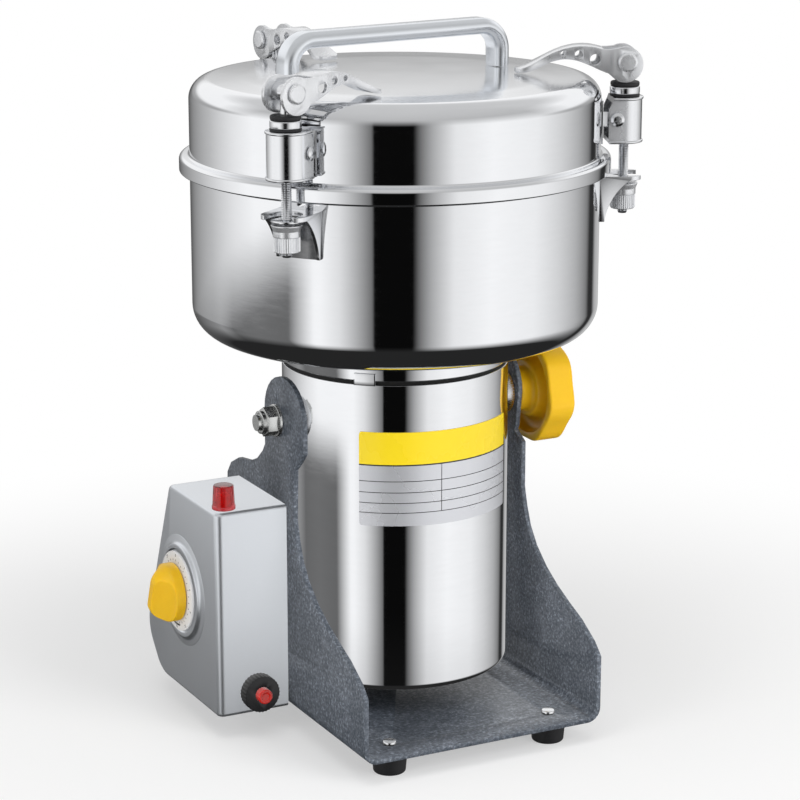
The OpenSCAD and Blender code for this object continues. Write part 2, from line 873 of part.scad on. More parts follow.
module stator_core() {
    color([0.45, 0.46, 0.48]) at_head() translate([0, 0, core_z]) linear_extrude(core_h)
        difference() {
            circle(r = yoke_r);
            circle(r = core_r + air_gap);
            for (t = [0, 180]) ring_part(slot_out, slot_in, slot_angle, t);
        }
}

module field_coils() {
    color([0.72, 0.4, 0.2]) at_head()
        for (t = [0, 180])
            translate([0, 0, core_z - winding_h]) linear_extrude(core_h + 2 * winding_h)
                ring_part(slot_out - seat, slot_in + seat, coil_angle, t);
}

module stepped_shaft(extra) {
    translate([0, 0, low_bearing_z - chamfer])
        cylinder(r = journal_r + extra, h = low_bearing_h + 2 * chamfer);
    translate([0, 0, low_bearing_z + low_bearing_h + chamfer])
        cylinder(r = shaft_r + extra, h = spindle_z - low_bearing_z - low_bearing_h - chamfer);
    translate([0, 0, spindle_z - seat]) cylinder(r = spindle_r + extra, h = spindle_h + seat);
}

module motor_shaft() {
    color([0.7, 0.71, 0.73]) at_head() stepped_shaft(0);
}

module armature() {
    color([0.62, 0.5, 0.4]) at_head() difference() {
        union() {
            translate([0, 0, core_z]) cylinder(r = core_r, h = core_h);
            translate([0, 0, core_z - winding_h]) cylinder(r = winding_r, h = core_h + 2 * winding_h);
        }
        stepped_shaft(seat);
    }
}

module commutator() {
    color([0.75, 0.42, 0.22]) at_head() difference() {
        translate([0, 0, comm_z]) cylinder(r = comm_r, h = comm_h);
        stepped_shaft(seat);
    }
}

module cooling_fan() {
    hub_r = 14;
    vane_t = 2;
    color([0.25, 0.26, 0.28]) at_head() difference() {
        translate([0, 0, fan_z]) union() {
            cylinder(r = fan_r, h = vane_t);
            cylinder(r = hub_r, h = fan_h);
            for (i = [0 : fan_blades - 1])
                rotate([0, 0, 360 * i / fan_blades]) translate([hub_r - cut, -vane_t / 2, 0])
                    cube([fan_r - hub_r, vane_t, fan_h]);
        }
        stepped_shaft(seat);
    }
}

// Half of a blade outline as shares of half its length: leading edge out, trailing edge back
blade_shares = [
    [0, 0.17], [0.3, 0.15], [0.7, 0.17], [0.92, 0.12], [1, 0.02],
    [0.9, -0.03], [0.66, -0.02], [0.3, -0.12],
];

module blade_outline() {
    half = bowl_r - bowl_wall - blade_gap;
    points = [for (s = blade_shares) half * s];
    polygon(concat(points, [for (p = points) -p]));
}

blade_turn = 70;

module blades() {
    first = spindle_z + low_spacer_h;
    color([0.7, 0.72, 0.75]) at_head() difference() {
        for (k = [0, 1])
            translate([0, 0, first + k * (blade_t + spacer_h)]) rotate([0, 0, blade_turn * k])
                linear_extrude(blade_t) blade_outline();
        stepped_shaft(seat);
    }
}

module blade_spacers() {
    color([0.66, 0.67, 0.7]) at_head() difference() {
        union() {
            translate([0, 0, spindle_z]) cylinder(r = spacer_r, h = low_spacer_h);
            translate([0, 0, spindle_z + low_spacer_h + blade_t]) cylinder(r = spacer_r, h = spacer_h);
        }
        stepped_shaft(seat);
    }
}

module blade_nut() {
    color([0.75, 0.76, 0.78]) at_head() difference() {
        translate([0, 0, spindle_z + low_spacer_h + spacer_h + 2 * blade_t])
            cylinder(r = blade_nut_r, h = blade_nut_h, $fn = 6);
        stepped_shaft(seat);
    }
}

// Lid

spigot_t = 2;
spigot_h = 7;
spigot_gap = 0.5;

// Point of the slightly domed lid top, by its share of the way in from the rim
function dome_point(r, z, share) = [r * (1 - share), z + lid_dome * (1 - pow(1 - share, 2))];

module lid() {
    inner = bowl_r - lid_wall;
    top_r = bowl_r - lid_corner;
    spigot_r = bowl_r - bowl_wall - spigot_gap;
    bead = 1.8;
    outer_dome = [for (i = [1 : arc_n]) dome_point(top_r, lid_top, i / arc_n)];
    low_dome = [for (i = [arc_n : -1 : 1]) dome_point(top_r - lid_wall, lid_top - lid_wall, i / arc_n)];
    color([0.8, 0.81, 0.83]) at_head() difference() {
        rotate_extrude() polygon(concat(
            rounded(
                [
                    [spigot_r - spigot_t, lid_rim - spigot_h], [spigot_r, lid_rim - spigot_h],
                    [spigot_r, lid_rim], [rim_r, lid_rim], [rim_r, lid_rim + lid_rim_h],
                    [bowl_r, lid_rim + lid_rim_h], [bowl_r, lid_top], [top_r - lid_corner, lid_top]
                ],
                [0, 0, 0, bead, bead, 0, lid_corner, 0]
            ),
            outer_dome,
            low_dome,
            [
                [inner - lid_corner, lid_top - lid_wall],
                each arc([bowl_r - lid_corner, lid_top - lid_corner], lid_corner - lid_wall, 90, 0),
                [inner, lid_rim + lid_rim_h], [spigot_r - spigot_t, lid_rim + lid_rim_h]
            ]
        ));
        for (s = [-1, 1])
            rotate([0, 0, lid_turn]) translate([s * handle_x, 0, lid_top - 2 * lid_wall])
                cylinder(r = handle_screw_r + seat, h = 4 * lid_wall);
    }
}

module lid_gasket() {
    color([0.85, 0.85, 0.85]) at_head() translate([0, 0, bowl_rim + face_gap]) difference() {
        cylinder(r = rim_r - gasket_t, h = gasket_t);
        translate([0, 0, -cut]) cylinder(r = bowl_r - bowl_wall + face_gap, h = gasket_t + 2 * cut);
    }
}

handle_w = 17;
handle_t = 10;
handle_round = 20;
handle_foot = lid_top + lid_dome + seat;
handle_screw_r = 2.5;

module lid_handle() {
    out = handle_x + handle_t / 2;
    in = handle_x - handle_t / 2;
    top = lid_top + handle_h;
    color([0.82, 0.83, 0.85]) at_head() rotate([0, 0, lid_turn]) difference() {
        translate([0, handle_w / 2, 0]) rotate([90, 0, 0]) linear_extrude(handle_w) difference() {
            polygon(rounded(
                [[-out, handle_foot], [-out, top], [out, top], [out, handle_foot]],
                [0, handle_round, handle_round, 0]
            ));
            polygon(rounded(
                [
                    [-in, handle_foot - cut], [-in, top - handle_t],
                    [in, top - handle_t], [in, handle_foot - cut]
                ],
                [0, handle_round - handle_t, handle_round - handle_t, 0]
            ));
        }
        for (s = [-1, 1])
            translate([s * handle_x, 0, handle_foot - cut])
                cylinder(r = handle_screw_r + seat, h = handle_screw_l);
    }
}

handle_screw_l = 12;

module handle_screws() {
    head_h = 3;
    head_r = 5;
    under = lid_top - lid_wall;
    color([0.75, 0.76, 0.78]) at_head() rotate([0, 0, lid_turn])
        for (s = [-1, 1])
            translate([s * handle_x, 0, under - head_h - seat]) {
                cylinder(r = head_r, h = head_h);
                cylinder(r = handle_screw_r, h = handle_screw_l);
            }
}

// Clamps: in each clamp's own frame X points away from the bowl axis, Y runs along the rim

module at_clamp(i) {
    at_head() rotate([0, 0, clamp_turns[i] + lid_turn - 90]) children();
}

module at_bolt(i) {
    at_clamp(i) translate([bolt_x, 0, 0]) rotate([0, 0, lever_turns[i]]) translate([-bolt_x, 0, 0])
        children();
}

// Along the rim: the child's +Z points to +Y
module along_rim(x, y, z) {
    translate([x, y, z]) rotate([-90, 0, 0]) children();
}

fork_t = 2.6;
fork_sink = 4.6;
fork_top = bowl_rim - rim_h - fork_sink;
fork_drop = 34;
fork_side = 2;
nut_gap = 0.35;
slot_r = nut_r + nut_gap;

module catch_forks() {
    color([0.78, 0.79, 0.81]) for (i = [0 : 2]) at_clamp(i) {
        difference() {
            union() {
                intersection() {
                    translate([0, 0, fork_top - fork_drop])
                        cylinder(r = bowl_r + fork_side, h = fork_drop, $fn = fine_n);
                    translate([0, -fork_half, fork_top - fork_drop])
                        cube([2 * bowl_r, 2 * fork_half, fork_drop]);
                }
                translate([0, 0, fork_top - fork_t]) linear_extrude(fork_t) polygon(rounded(
                    [
                        [bowl_r - fork_half, -fork_half], [fork_reach, -fork_half],
                        [fork_reach, fork_half], [bowl_r - fork_half, fork_half]
                    ],
                    [0, fork_round, fork_round, 0]
                ));
                for (s = [-fork_half, fork_half - fork_side])
                    translate([0, s + fork_side, 0]) rotate([90, 0, 0]) linear_extrude(fork_side)
                        polygon([
                            [bowl_r - fork_side, fork_top - fork_t / 2],
                            [fork_reach - fork_round, fork_top - fork_t / 2],
                            [bowl_r + fork_side, fork_top - fork_drop],
                            [bowl_r - fork_side, fork_top - fork_drop]
                        ]);
            }
            translate([0, 0, fork_top - 2 * fork_drop])
                cylinder(r = bowl_r + seat, h = 3 * fork_drop, $fn = fine_n);
            translate([bolt_x, 0, fork_top - 2 * fork_t]) cylinder(r = slot_r, h = 3 * fork_t);
            translate([bolt_x, -slot_r, fork_top - 2 * fork_t])
                cube([2 * slot_r, 2 * slot_r, 3 * fork_t]);
        }
    }
}

lug_r = 4.6;
lug_in = 7.4;
lug_out = 9.6;
bracket_half = 11;
bracket_t = 1.4;
pin_r = 2;

module clamp_brackets() {
    color([0.78, 0.79, 0.81]) for (i = [0 : 2]) at_clamp(i) difference() {
        union() {
            intersection() {
                translate([0, 0, sleeve_bottom])
                    cylinder(r = bowl_r + bracket_t, h = sleeve_h - bracket_t, $fn = fine_n);
                translate([0, -bracket_half, sleeve_bottom])
                    cube([2 * bowl_r, 2 * bracket_half, sleeve_h]);
            }
            for (y = [-lug_out, lug_in]) along_rim(0, y, 0) linear_extrude(lug_out - lug_in) {
                translate([swing_x, -swing_z]) circle(r = lug_r);
                translate([bowl_r, -swing_z - lug_r]) square([swing_x - bowl_r, 2 * lug_r]);
            }
        }
        translate([0, 0, sleeve_bottom - cut])
            cylinder(r = bowl_r + seat, h = sleeve_h + 2 * cut, $fn = fine_n);
        along_rim(swing_x, -lug_out - cut, swing_z)
            cylinder(r = pin_r + seat, h = 2 * lug_out + 2 * cut);
    }
}

module sleeve_screws() {
    head_r = 4.2;
    head_h = 1.8;
    start = sleeve_half + face_gap;
    color([0.8, 0.81, 0.83]) for (i = [0 : 2], s = [0, 180]) at_clamp(i)
        translate([swing_x, 0, swing_z]) rotate([0, 0, s]) {
            along_rim(0, start, 0) cylinder(r = head_r, h = head_h);
            along_rim(0, lug_in, 0) cylinder(r = pin_r, h = start - lug_in + seat);
        }
}

sleeve_gap = 4.5;
sleeve_in = bowl_r + sleeve_gap;
bevel_x = 3;
bevel_z = 7;

module sleeve_plan(half) {
    front = clamp_out - sleeve_half;
    difference() {
        union() {
            translate([front, 0]) circle(r = half);
            translate([sleeve_in, -half]) square([front - sleeve_in, 2 * half]);
        }
        translate([front - 2 * half, -half - cut])
            square([2 * half - front + sleeve_in, 2 * half + 2 * cut]);
    }
}

module clamp_sleeve(i) {
    color([0.78, 0.79, 0.81]) at_clamp(i) difference() {
        translate([0, 0, sleeve_bottom]) linear_extrude(sleeve_h) sleeve_plan(sleeve_half);
        translate([-cut, 0, sleeve_bottom + sleeve_cap]) linear_extrude(sleeve_h - 2 * sleeve_cap)
            sleeve_plan(sleeve_half - sleeve_wall);
        for (g = [0, 1])
            translate([0, 0, g * (sleeve_h - lip) + sleeve_bottom + (g ? -lip / 2 : lip)])
                linear_extrude(lip / 2) difference() {
                    translate([sleeve_in - cut, -sleeve_half - cut])
                        square([2 * sleeve_half + 2 * cut, 2 * sleeve_half + 2 * cut]);
                    sleeve_plan(sleeve_half - lip / 3);
                }
        along_rim(0, -sleeve_half - cut, 0) linear_extrude(2 * sleeve_half + 2 * cut) polygon([
            [sleeve_in - cut, -sleeve_top - cut], [sleeve_in + bevel_x, -sleeve_top - cut],
            [sleeve_in + bevel_x, -sleeve_top], [sleeve_in, -sleeve_top + bevel_z],
            [sleeve_in - cut, -sleeve_top + bevel_z]
        ]);
        along_rim(swing_x, -sleeve_half - cut, swing_z)
            cylinder(r = pin_r + fit, h = 2 * sleeve_half + 2 * cut);
        translate([bolt_x, 0, sleeve_bottom - cut]) cylinder(r = bolt_r + fit, h = sleeve_h + 2 * cut);
    }
    at_clamp(i) translate([bolt_x, 0, sleeve_top + seat]) {
        color([0.08, 0.08, 0.09]) ring_bearing(washer_r, bolt_r, thin_washer_t);
        color([0.8, 0.81, 0.83]) translate([0, 0, thin_washer_t + seat])
            ring_bearing(washer_r, bolt_r, steel_washer_t);
        color([0.08, 0.08, 0.09]) translate([0, 0, thin_washer_t + steel_washer_t + 2 * seat])
            ring_bearing(washer_r - lip / 2, bolt_r, cushion_t);
    }
}

cheek_t = 2.4;
cheek_gap = 14;
cheek_out = cheek_gap / 2 + cheek_t;
eye_r = 5;
cam_pin_r = 2.4;
nut_h = 17.5;
bolt_tail = 3;
seat_ring_t = 1.4;
nut_top = fork_top - fork_t - face_gap - seat_ring_t;

module draw_bolt(i) {
    eye_w = cheek_gap - 2 * face_gap;
    head_h = 1.4;
    head_r = 5.9;
    color([0.72, 0.73, 0.75]) at_bolt(i) difference() {
        union() {
            translate([bolt_x, 0, nut_top - nut_h - bolt_tail])
                cylinder(r = bolt_r, h = pin_z - nut_top + nut_h + bolt_tail);
            along_rim(bolt_x, -eye_w / 2, pin_z) cylinder(r = eye_r, h = eye_w);
        }
        along_rim(bolt_x, -eye_w, pin_z) cylinder(r = cam_pin_r + seat, h = 2 * eye_w);
    }
    color([0.8, 0.81, 0.83]) at_bolt(i) {
        along_rim(bolt_x, -cheek_out - face_gap, pin_z)
            cylinder(r = cam_pin_r, h = 2 * (cheek_out + face_gap));
        for (s = [0, 1])
            along_rim(bolt_x, s ? cheek_out + face_gap : -cheek_out - face_gap - head_h, pin_z)
                cylinder(r = head_r, h = head_h);
    }
}

// Arm of the lever as shares of its length: top edge outwards, then the underside back
lever_shares = [
    [0.06, 0.145], [0.18, 0.14], [0.3, 0.165], [0.42, 0.17], [0.54, 0.152], [0.66, 0.11],
    [0.78, 0.05], [0.9, -0.012], [1, -0.04],
    [1, -0.075], [0.9, -0.062], [0.78, -0.02], [0.68, 0.025], [0.56, 0.05], [0.44, 0.035],
    [0.32, -0.01], [0.22, -0.055], [0.12, -0.09],
];
// Outline from above: shares of the lever's length against shares of its half width
lever_width_shares = [
    [-0.2, 1], [0.3, 1], [0.5, 0.78], [0.72, 0.64], [0.9, 0.84], [0.97, 0.78], [1, 0.5],
];
lever_hole_shares = [[0.28, 0.05, 0.05], [0.43, 0.094, 0.038], [0.57, 0.1, 0.026]];
channel_share = 0.68;

module clamp_lever(i) {
    bridge = 2.4;
    color([0.78, 0.79, 0.81]) at_bolt(i) difference() {
        union() {
            along_rim(cam_x, -cheek_out, cam_z) cylinder(r = cam_r, h = 2 * cheek_out);
            intersection() {
                along_rim(cam_x, -lever_l / 2, cam_z) linear_extrude(lever_l)
                    polygon([for (s = lever_shares) [-s[0] * lever_l, -s[1] * lever_l]]);
                translate([cam_x, 0, cam_z - lever_l]) linear_extrude(2 * lever_l) polygon(concat(
                    [for (s = lever_width_shares) [-s[0] * lever_l, -s[1] * cheek_out]],
                    [for (k = [len(lever_width_shares) - 1 : -1 : 0])
                        [-lever_width_shares[k][0] * lever_l, lever_width_shares[k][1] * cheek_out]]
                ));
            }
        }
        // Channel between the cheeks, open below and round the bolt's eye
        translate([cam_x - channel_share * lever_l, -cheek_gap / 2, cam_z - 2 * cam_r])
            intersection() {
                cube([channel_share * lever_l + 2 * cam_r, cheek_gap, 4 * cam_r]);
                translate([channel_share * lever_l, cheek_gap * 2, 2 * cam_r]) rotate([90, 0, 0])
                    linear_extrude(4 * cheek_gap) union() {
                        translate([-cam_r - bridge, -2 * cam_r]) square([4 * cam_r, 4 * cam_r]);
                        polygon(concat(
                            [for (k = [0 : 6]) [
                                -lever_shares[k][0] * lever_l,
                                lever_shares[k][1] * lever_l - bridge
                            ]],
                            [[-lever_l, -2 * cam_r], [0, -2 * cam_r]]
                        ));
                    }
            }
        along_rim(bolt_x, -lever_l, pin_z) cylinder(r = cam_pin_r + fit, h = 2 * lever_l);
        for (s = lever_hole_shares)
            along_rim(cam_x - s[0] * lever_l, -lever_l, cam_z + s[1] * lever_l)
                cylinder(r = s[2] * lever_l, h = 2 * lever_l);
    }
}

module nut_washer(i) {
    color([0.78, 0.79, 0.81]) at_clamp(i) translate([bolt_x, 0, nut_top])
        ring_bearing(nut_r, bolt_r, seat_ring_t);
}

knurl_share = 0.5;
nut_teeth = 20;
nut_tooth = 0.5;

module thumb_nut(i) {
    neck_r = nut_r - lip;
    flare_h = 3;
    knurl_h = knurl_share * nut_h;
    color([0.78, 0.79, 0.81]) at_clamp(i) translate([bolt_x, 0, nut_top - nut_h]) difference() {
        union() {
            linear_extrude(knurl_h) knurled(neck_r - seat, nut_teeth, nut_tooth);
            translate([0, 0, knurl_h]) cylinder(r = neck_r, h = nut_h - flare_h - knurl_h);
            translate([0, 0, nut_h - flare_h]) cylinder(r1 = neck_r, r2 = nut_r, h = flare_h);
        }
        translate([0, 0, -cut]) cylinder(r = bolt_r + fit, h = nut_h + 2 * cut);
    }
}

// Tilt lock

lock_washer_t = 2;
lock_washer_r = 13;
hub_r = 14;
hub_h = 9;
lobe_h = 2.2;
rim_w = 18;
lock_start = plate_out + face_gap;
knob_start = lock_start + lock_washer_t;
socket_l = 16;

module lock_washer() {
    color([0.8, 0.81, 0.83]) at_head() along_x(lock_start, 0, pivot_z)
        ring_bearing(lock_washer_r, stud_r, lock_washer_t);
}

function lobe_r(r, a) = r - lobe_h / 2 + lobe_h / 2 * cos(lock_lobes * a);

module lobed(r) {
    polygon([for (a = [0 : 4 : 356]) lobe_r(r, a) * [cos(a), sin(a)]]);
}

module lock_knob() {
    color([1, 0.78, 0.12]) at_head() along_x(knob_start, 0, pivot_z) difference() {
        union() {
            cylinder(r = hub_r, h = hub_h + seat);
            translate([0, 0, hub_h]) linear_extrude(rim_w) lobed(lock_r);
        }
        translate([0, 0, -cut]) cylinder(r = stud_r + seat, h = socket_l + cut);
    }
}

module lock_stud() {
    stud_in = housing_r + 2 * seat;
    color([0.72, 0.73, 0.75]) at_head() along_x(stud_in, 0, pivot_z)
        cylinder(r = stud_r, h = knob_start + socket_l - stud_in);
}

frame();
rubber_feet();
stand_screws();
control_box();
timer_body();
timer_dial();
indicator_lamp();
breaker_body();
cable_gland();
timer_knob();
reset_button();
motor_housing();
bottom_cover();
bearing_plate();
neck_ring();
grinding_bowl();
catch_forks();
rating_label();
trunnion_bosses();
pivot_stud();
pivot_washer();
pivot_nut();
lower_bracket();
bearings();
stator_core();
field_coils();
carbon_brushes();
shaft_seal();
bowl_screws();
motor_shaft();
armature();
commutator();
cooling_fan();
blades();
blade_spacers();
blade_nut();
lid();
lid_gasket();
lid_handle();
handle_screws();
clamp_brackets();
sleeve_screws();
clamp_sleeve(0);  // clamp_sleeve_a
clamp_sleeve(1);  // clamp_sleeve_b
clamp_sleeve(2);  // clamp_sleeve_c
draw_bolt(0);  // draw_bolt_a
draw_bolt(1);  // draw_bolt_b
draw_bolt(2);  // draw_bolt_c
clamp_lever(0);  // clamp_lever_a
clamp_lever(1);  // clamp_lever_b
clamp_lever(2);  // clamp_lever_c
nut_washer(0);  // nut_washer_a
nut_washer(1);  // nut_washer_b
nut_washer(2);  // nut_washer_c
thumb_nut(0);  // thumb_nut_a
thumb_nut(1);  // thumb_nut_b
thumb_nut(2);  // thumb_nut_c
lock_washer();
lock_knob();
lock_stud();
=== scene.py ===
import json
import math

import bmesh
import bpy
from mathutils import Matrix, Vector


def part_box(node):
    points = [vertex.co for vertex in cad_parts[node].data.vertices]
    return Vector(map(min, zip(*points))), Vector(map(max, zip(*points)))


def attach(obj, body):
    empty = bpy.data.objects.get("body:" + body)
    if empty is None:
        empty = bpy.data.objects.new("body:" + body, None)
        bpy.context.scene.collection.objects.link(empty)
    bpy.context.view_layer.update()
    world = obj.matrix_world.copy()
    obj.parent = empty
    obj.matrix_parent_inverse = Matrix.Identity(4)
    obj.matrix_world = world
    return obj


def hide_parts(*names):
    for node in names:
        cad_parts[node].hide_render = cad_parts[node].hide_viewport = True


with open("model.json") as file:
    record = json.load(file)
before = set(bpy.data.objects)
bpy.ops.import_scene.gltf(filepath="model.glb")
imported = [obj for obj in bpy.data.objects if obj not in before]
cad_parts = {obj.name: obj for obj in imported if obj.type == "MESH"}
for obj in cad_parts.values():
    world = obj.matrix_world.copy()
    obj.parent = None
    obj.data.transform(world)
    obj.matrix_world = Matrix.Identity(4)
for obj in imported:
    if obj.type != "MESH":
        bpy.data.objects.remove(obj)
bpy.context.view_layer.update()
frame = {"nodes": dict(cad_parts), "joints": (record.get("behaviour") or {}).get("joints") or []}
nodes = frame["nodes"]

MM = 0.001
TURN = 2 * math.pi
EPS = 1e-6
LEFT, RIGHT, FRONT, UP = (-1, 0, 0), (1, 0, 0), (0, -1, 0), (0, 0, 1)


def joint(name):
    """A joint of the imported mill, by its name."""
    return next(j for j in frame["joints"] if j["name"] == name)


# Places of the mill, in metres: the bowl axis, the tilt axis and the main levels
AXIS_X, AXIS_Y = joint("rotor_spin")["pos_m"][:2]
PIVOT_Z = joint("head_tilt")["pos_m"][2]
HOUSING_LOW, HOUSING_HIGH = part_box("motor_housing")
NECK_LOW, NECK_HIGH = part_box("neck_ring")
BOWL_LOW, BOWL_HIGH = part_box("grinding_bowl")
LID_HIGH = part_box("lid")[1]
HEAD_CENTRE = (AXIS_X, AXIS_Y, 0)
# Steps round the head's turned pieces, and the radius in millimetres of the middle of a solid
# turned piece, just off its axis
HEAD_STEPS = 256
CORE = 0.001


# Camera, as the photograph was taken
CAMERA_AZIMUTH = math.radians(27.14)
CAMERA_PITCH = math.radians(14.78)
CAMERA_LENS = 119.23
SENSOR = 36.0
CENTRE_SHIFT = 0.00625
CAMERA_PLACE = (AXIS_X - 0.72987, AXIS_Y - 1.42383, 0.62269)


def make_camera():
    data = bpy.data.cameras.new("studio_camera")
    data.sensor_width = SENSOR
    data.lens = CAMERA_LENS
    data.shift_x = CENTRE_SHIFT
    data.clip_start = 0.05
    data.clip_end = 50
    camera = bpy.data.objects.new("studio_camera", data)
    bpy.context.scene.collection.objects.link(camera)
    camera.location = CAMERA_PLACE
    camera.rotation_euler = (math.pi / 2 - CAMERA_PITCH, 0, -CAMERA_AZIMUTH)
    bpy.context.scene.camera = camera


make_camera()


# Node helpers

def put(tree, value, socket):
    """Links a socket to an input, or sets it to a number or a colour of three numbers."""
    if isinstance(value, bpy.types.NodeSocket):
        tree.links.new(value, socket)
    else:
        socket.default_value = (*value, 1) if isinstance(value, tuple) else value


def add_node(tree, kind, inputs=(), **settings):
    """Adds a node, sets its properties, and sets or links its inputs."""
    made = tree.nodes.new(kind)
    for key, value in settings.items():
        setattr(made, key, value)
    for key, value in dict(inputs).items():
        put(tree, value, made.inputs[key])
    return made


def grey(value):
    return (value, value, value)


def ramp(tree, factor, stops):
    """Colour ramp with (place, colour) stops."""
    made = add_node(tree, "ShaderNodeValToRGB", {"Fac": factor})
    points = made.color_ramp.elements
    while len(points) < len(stops):
        points.new(1.0)
    for point, (place, colour) in zip(points, stops):
        point.position = place
    for point, (place, colour) in zip(points, stops):
        point.color = (*colour, 1)
    return made.outputs["Color"]


def grey_ramp(tree, factor, stops):
    """Ramp of greys with (place, brightness) stops."""
    return ramp(tree, factor, [(place, grey(value)) for place, value in stops])


def math_node(tree, operation, *values):
    return add_node(tree, "ShaderNodeMath", dict(enumerate(values)),
                    operation=operation).outputs[0]


def mix_colour(tree, factor, a, b, mode="MIX"):
    return add_node(tree, "ShaderNodeMix", {0: factor, 6: a, 7: b}, data_type="RGBA",
                    blend_type=mode).outputs[2]


def noise(tree, place, scale, detail, roughness=0.5):
    return add_node(tree, "ShaderNodeTexNoise", {
        "Vector": place, "Scale": scale, "Detail": detail, "Roughness": roughness}).outputs["Fac"]


def spread(tree, value, start, stop, low=0.0, high=1.0, **settings):
    """Maps the values between two limits to a new range."""
    return add_node(tree, "ShaderNodeMapRange", {
        "Value": value, "From Min": start, "From Max": stop, "To Min": low, "To Max": high},
        **settings).outputs["Result"]


def within(tree, value, middle_value, half):
    """1 where a value lies within a half width of another, else 0."""
    off = math_node(tree, "ABSOLUTE", math_node(tree, "SUBTRACT", value, middle_value))
    return math_node(tree, "LESS_THAN", off, half)


def object_place(tree):
    return add_node(tree, "ShaderNodeTexCoord").outputs["Object"]


def new_group(name, inputs, outputs):
    """Shader node group with float inputs and outputs."""
    tree = bpy.data.node_groups.new(name, "ShaderNodeTree")
    for key, value in inputs.items():
        made = tree.interface.new_socket(key, in_out="INPUT", socket_type="NodeSocketFloat")
        made.default_value = value
    for key in outputs:
        tree.interface.new_socket(key, in_out="OUTPUT", socket_type="NodeSocketFloat")
    start = tree.nodes.new("NodeGroupInput")
    end = tree.nodes.new("NodeGroupOutput")
    return tree, start.outputs, end.inputs


def use_group(tree, group, values):
    made = tree.nodes.new("ShaderNodeGroup")
    made.node_tree = group
    for key, value in values.items():
        put(tree, value, made.inputs[key])
    return made.outputs


# Effects that several finishes share

def build_grain_group():
    """Soft mottling and fine grain, by size: a shade mask, a roughness and a height."""
    tree, given, out = new_group(
        "grain_and_mottle",
        {"Grain Scale": 900.0, "Mottle Scale": 25.0, "Rough Low": 0.3, "Rough High": 0.4},
        ("Shade", "Roughness", "Height"))
    place = object_place(tree)
    grain = noise(tree, place, given["Grain Scale"], 2.0)
    mottle = noise(tree, place, given["Mottle Scale"], 3.0)
    shade = math_node(tree, "ADD", math_node(tree, "MULTIPLY", grain, 0.5),
                      math_node(tree, "MULTIPLY", mottle, 0.5))
    put(tree, shade, out["Shade"])
    put(tree, spread(tree, mottle, 0.3, 0.7, given["Rough Low"], given["Rough High"]),
        out["Roughness"])
    put(tree, grain, out["Height"])
    return tree


def build_brushed_group():
    """Fine parallel lines of a brushed or polished metal: a noise stretched one way."""
    tree, given, out = new_group(
        "brushed_lines",
        {"Stretch X": 1.0, "Stretch Y": 1.0, "Stretch Z": 1.0, "Rough Low": 0.1,
         "Rough High": 0.2},
        ("Shade", "Roughness", "Height"))
    place = object_place(tree)
    scale = add_node(tree, "ShaderNodeCombineXYZ", {
        axis: given["Stretch " + axis] for axis in "XYZ"}).outputs[0]
    stretched = add_node(tree, "ShaderNodeVectorMath", {0: place, 1: scale}, operation="MULTIPLY")
    lines = noise(tree, stretched.outputs[0], 1.0, 4.0, 0.65)
    cloud = noise(tree, place, 18.0, 2.0)
    both = math_node(tree, "MULTIPLY_ADD", cloud, 0.4, math_node(tree, "MULTIPLY", lines, 0.6))
    put(tree, lines, out["Shade"])
    put(tree, spread(tree, both, 0.35, 0.65, given["Rough Low"], given["Rough High"]),
        out["Roughness"])
    put(tree, lines, out["Height"])
    return tree


def build_wear_group():
    """Lighter rubbed spots, from a noise: a mask from 0 to 1."""
    tree, given, out = new_group("rub_marks", {"Scale": 60.0, "Amount": 0.4}, ("Mask",))
    mask = spread(tree, noise(tree, object_place(tree), given["Scale"], 6.0, 0.7), 0.52, 0.75)
    put(tree, math_node(tree, "MULTIPLY", mask, given["Amount"]), out["Mask"])
    return tree


GRAIN = build_grain_group()
BRUSHED = build_brushed_group()
WEAR = build_wear_group()


class Finish:
    """A material with its Principled BSDF at hand."""

    def __init__(self, name, **constants):
        self.material = bpy.data.materials.new(name)
        self.material.use_nodes = True
        self.tree = self.material.node_tree
        self.shader = self.tree.nodes["Principled BSDF"]
        for key, value in constants.items():
            self.shader.inputs[key.replace("_", " ")].default_value = value

    def feed(self, socket, source):
        put(self.tree, source, self.shader.inputs[socket])

    def bump(self, height, distance, strength=1.0):
        made = add_node(self.tree, "ShaderNodeBump", {
            "Height": height, "Distance": distance, "Strength": strength})
        self.feed("Normal", made.outputs["Normal"])

    def two_tones(self, mask, dark, light):
        self.feed("Base Color", mix_colour(self.tree, mask, dark, light))

    def grain(self, grain, mottle, rough=(0.3, 0.4)):
        """Outputs of the grain group: shade, roughness and height."""
        return use_group(self.tree, GRAIN, {
            "Grain Scale": grain, "Mottle Scale": mottle, "Rough Low": rough[0],
            "Rough High": rough[1]})


def grained(name, dark, light, rough, grain, mottle, bump, **constants):
    """Material with two close tones, a soft mottling and a fine grain, by their scales."""
    made = Finish(name, **constants)
    out = made.grain(grain, mottle, rough)
    made.two_tones(out["Shade"], dark, light)
    made.feed("Roughness", out["Roughness"])
    made.bump(out["Height"], bump)
    return made.material


def brushed_finish(name, dark, light, rough, stretch, bump, **constants):
    """Metal with fine lines along the direction whose stretch is the smallest."""
    made = Finish(name, Metallic=1.0, **constants)
    out = use_group(made.tree, BRUSHED, {
        "Stretch X": stretch[0], "Stretch Y": stretch[1], "Stretch Z": stretch[2],
        "Rough Low": rough[0], "Rough High": rough[1]})
    made.two_tones(out["Shade"], dark, light)
    made.feed("Roughness", out["Roughness"])
    made.bump(out["Height"], bump)
    return made


def brushed(*settings):
    return brushed_finish(*settings).material


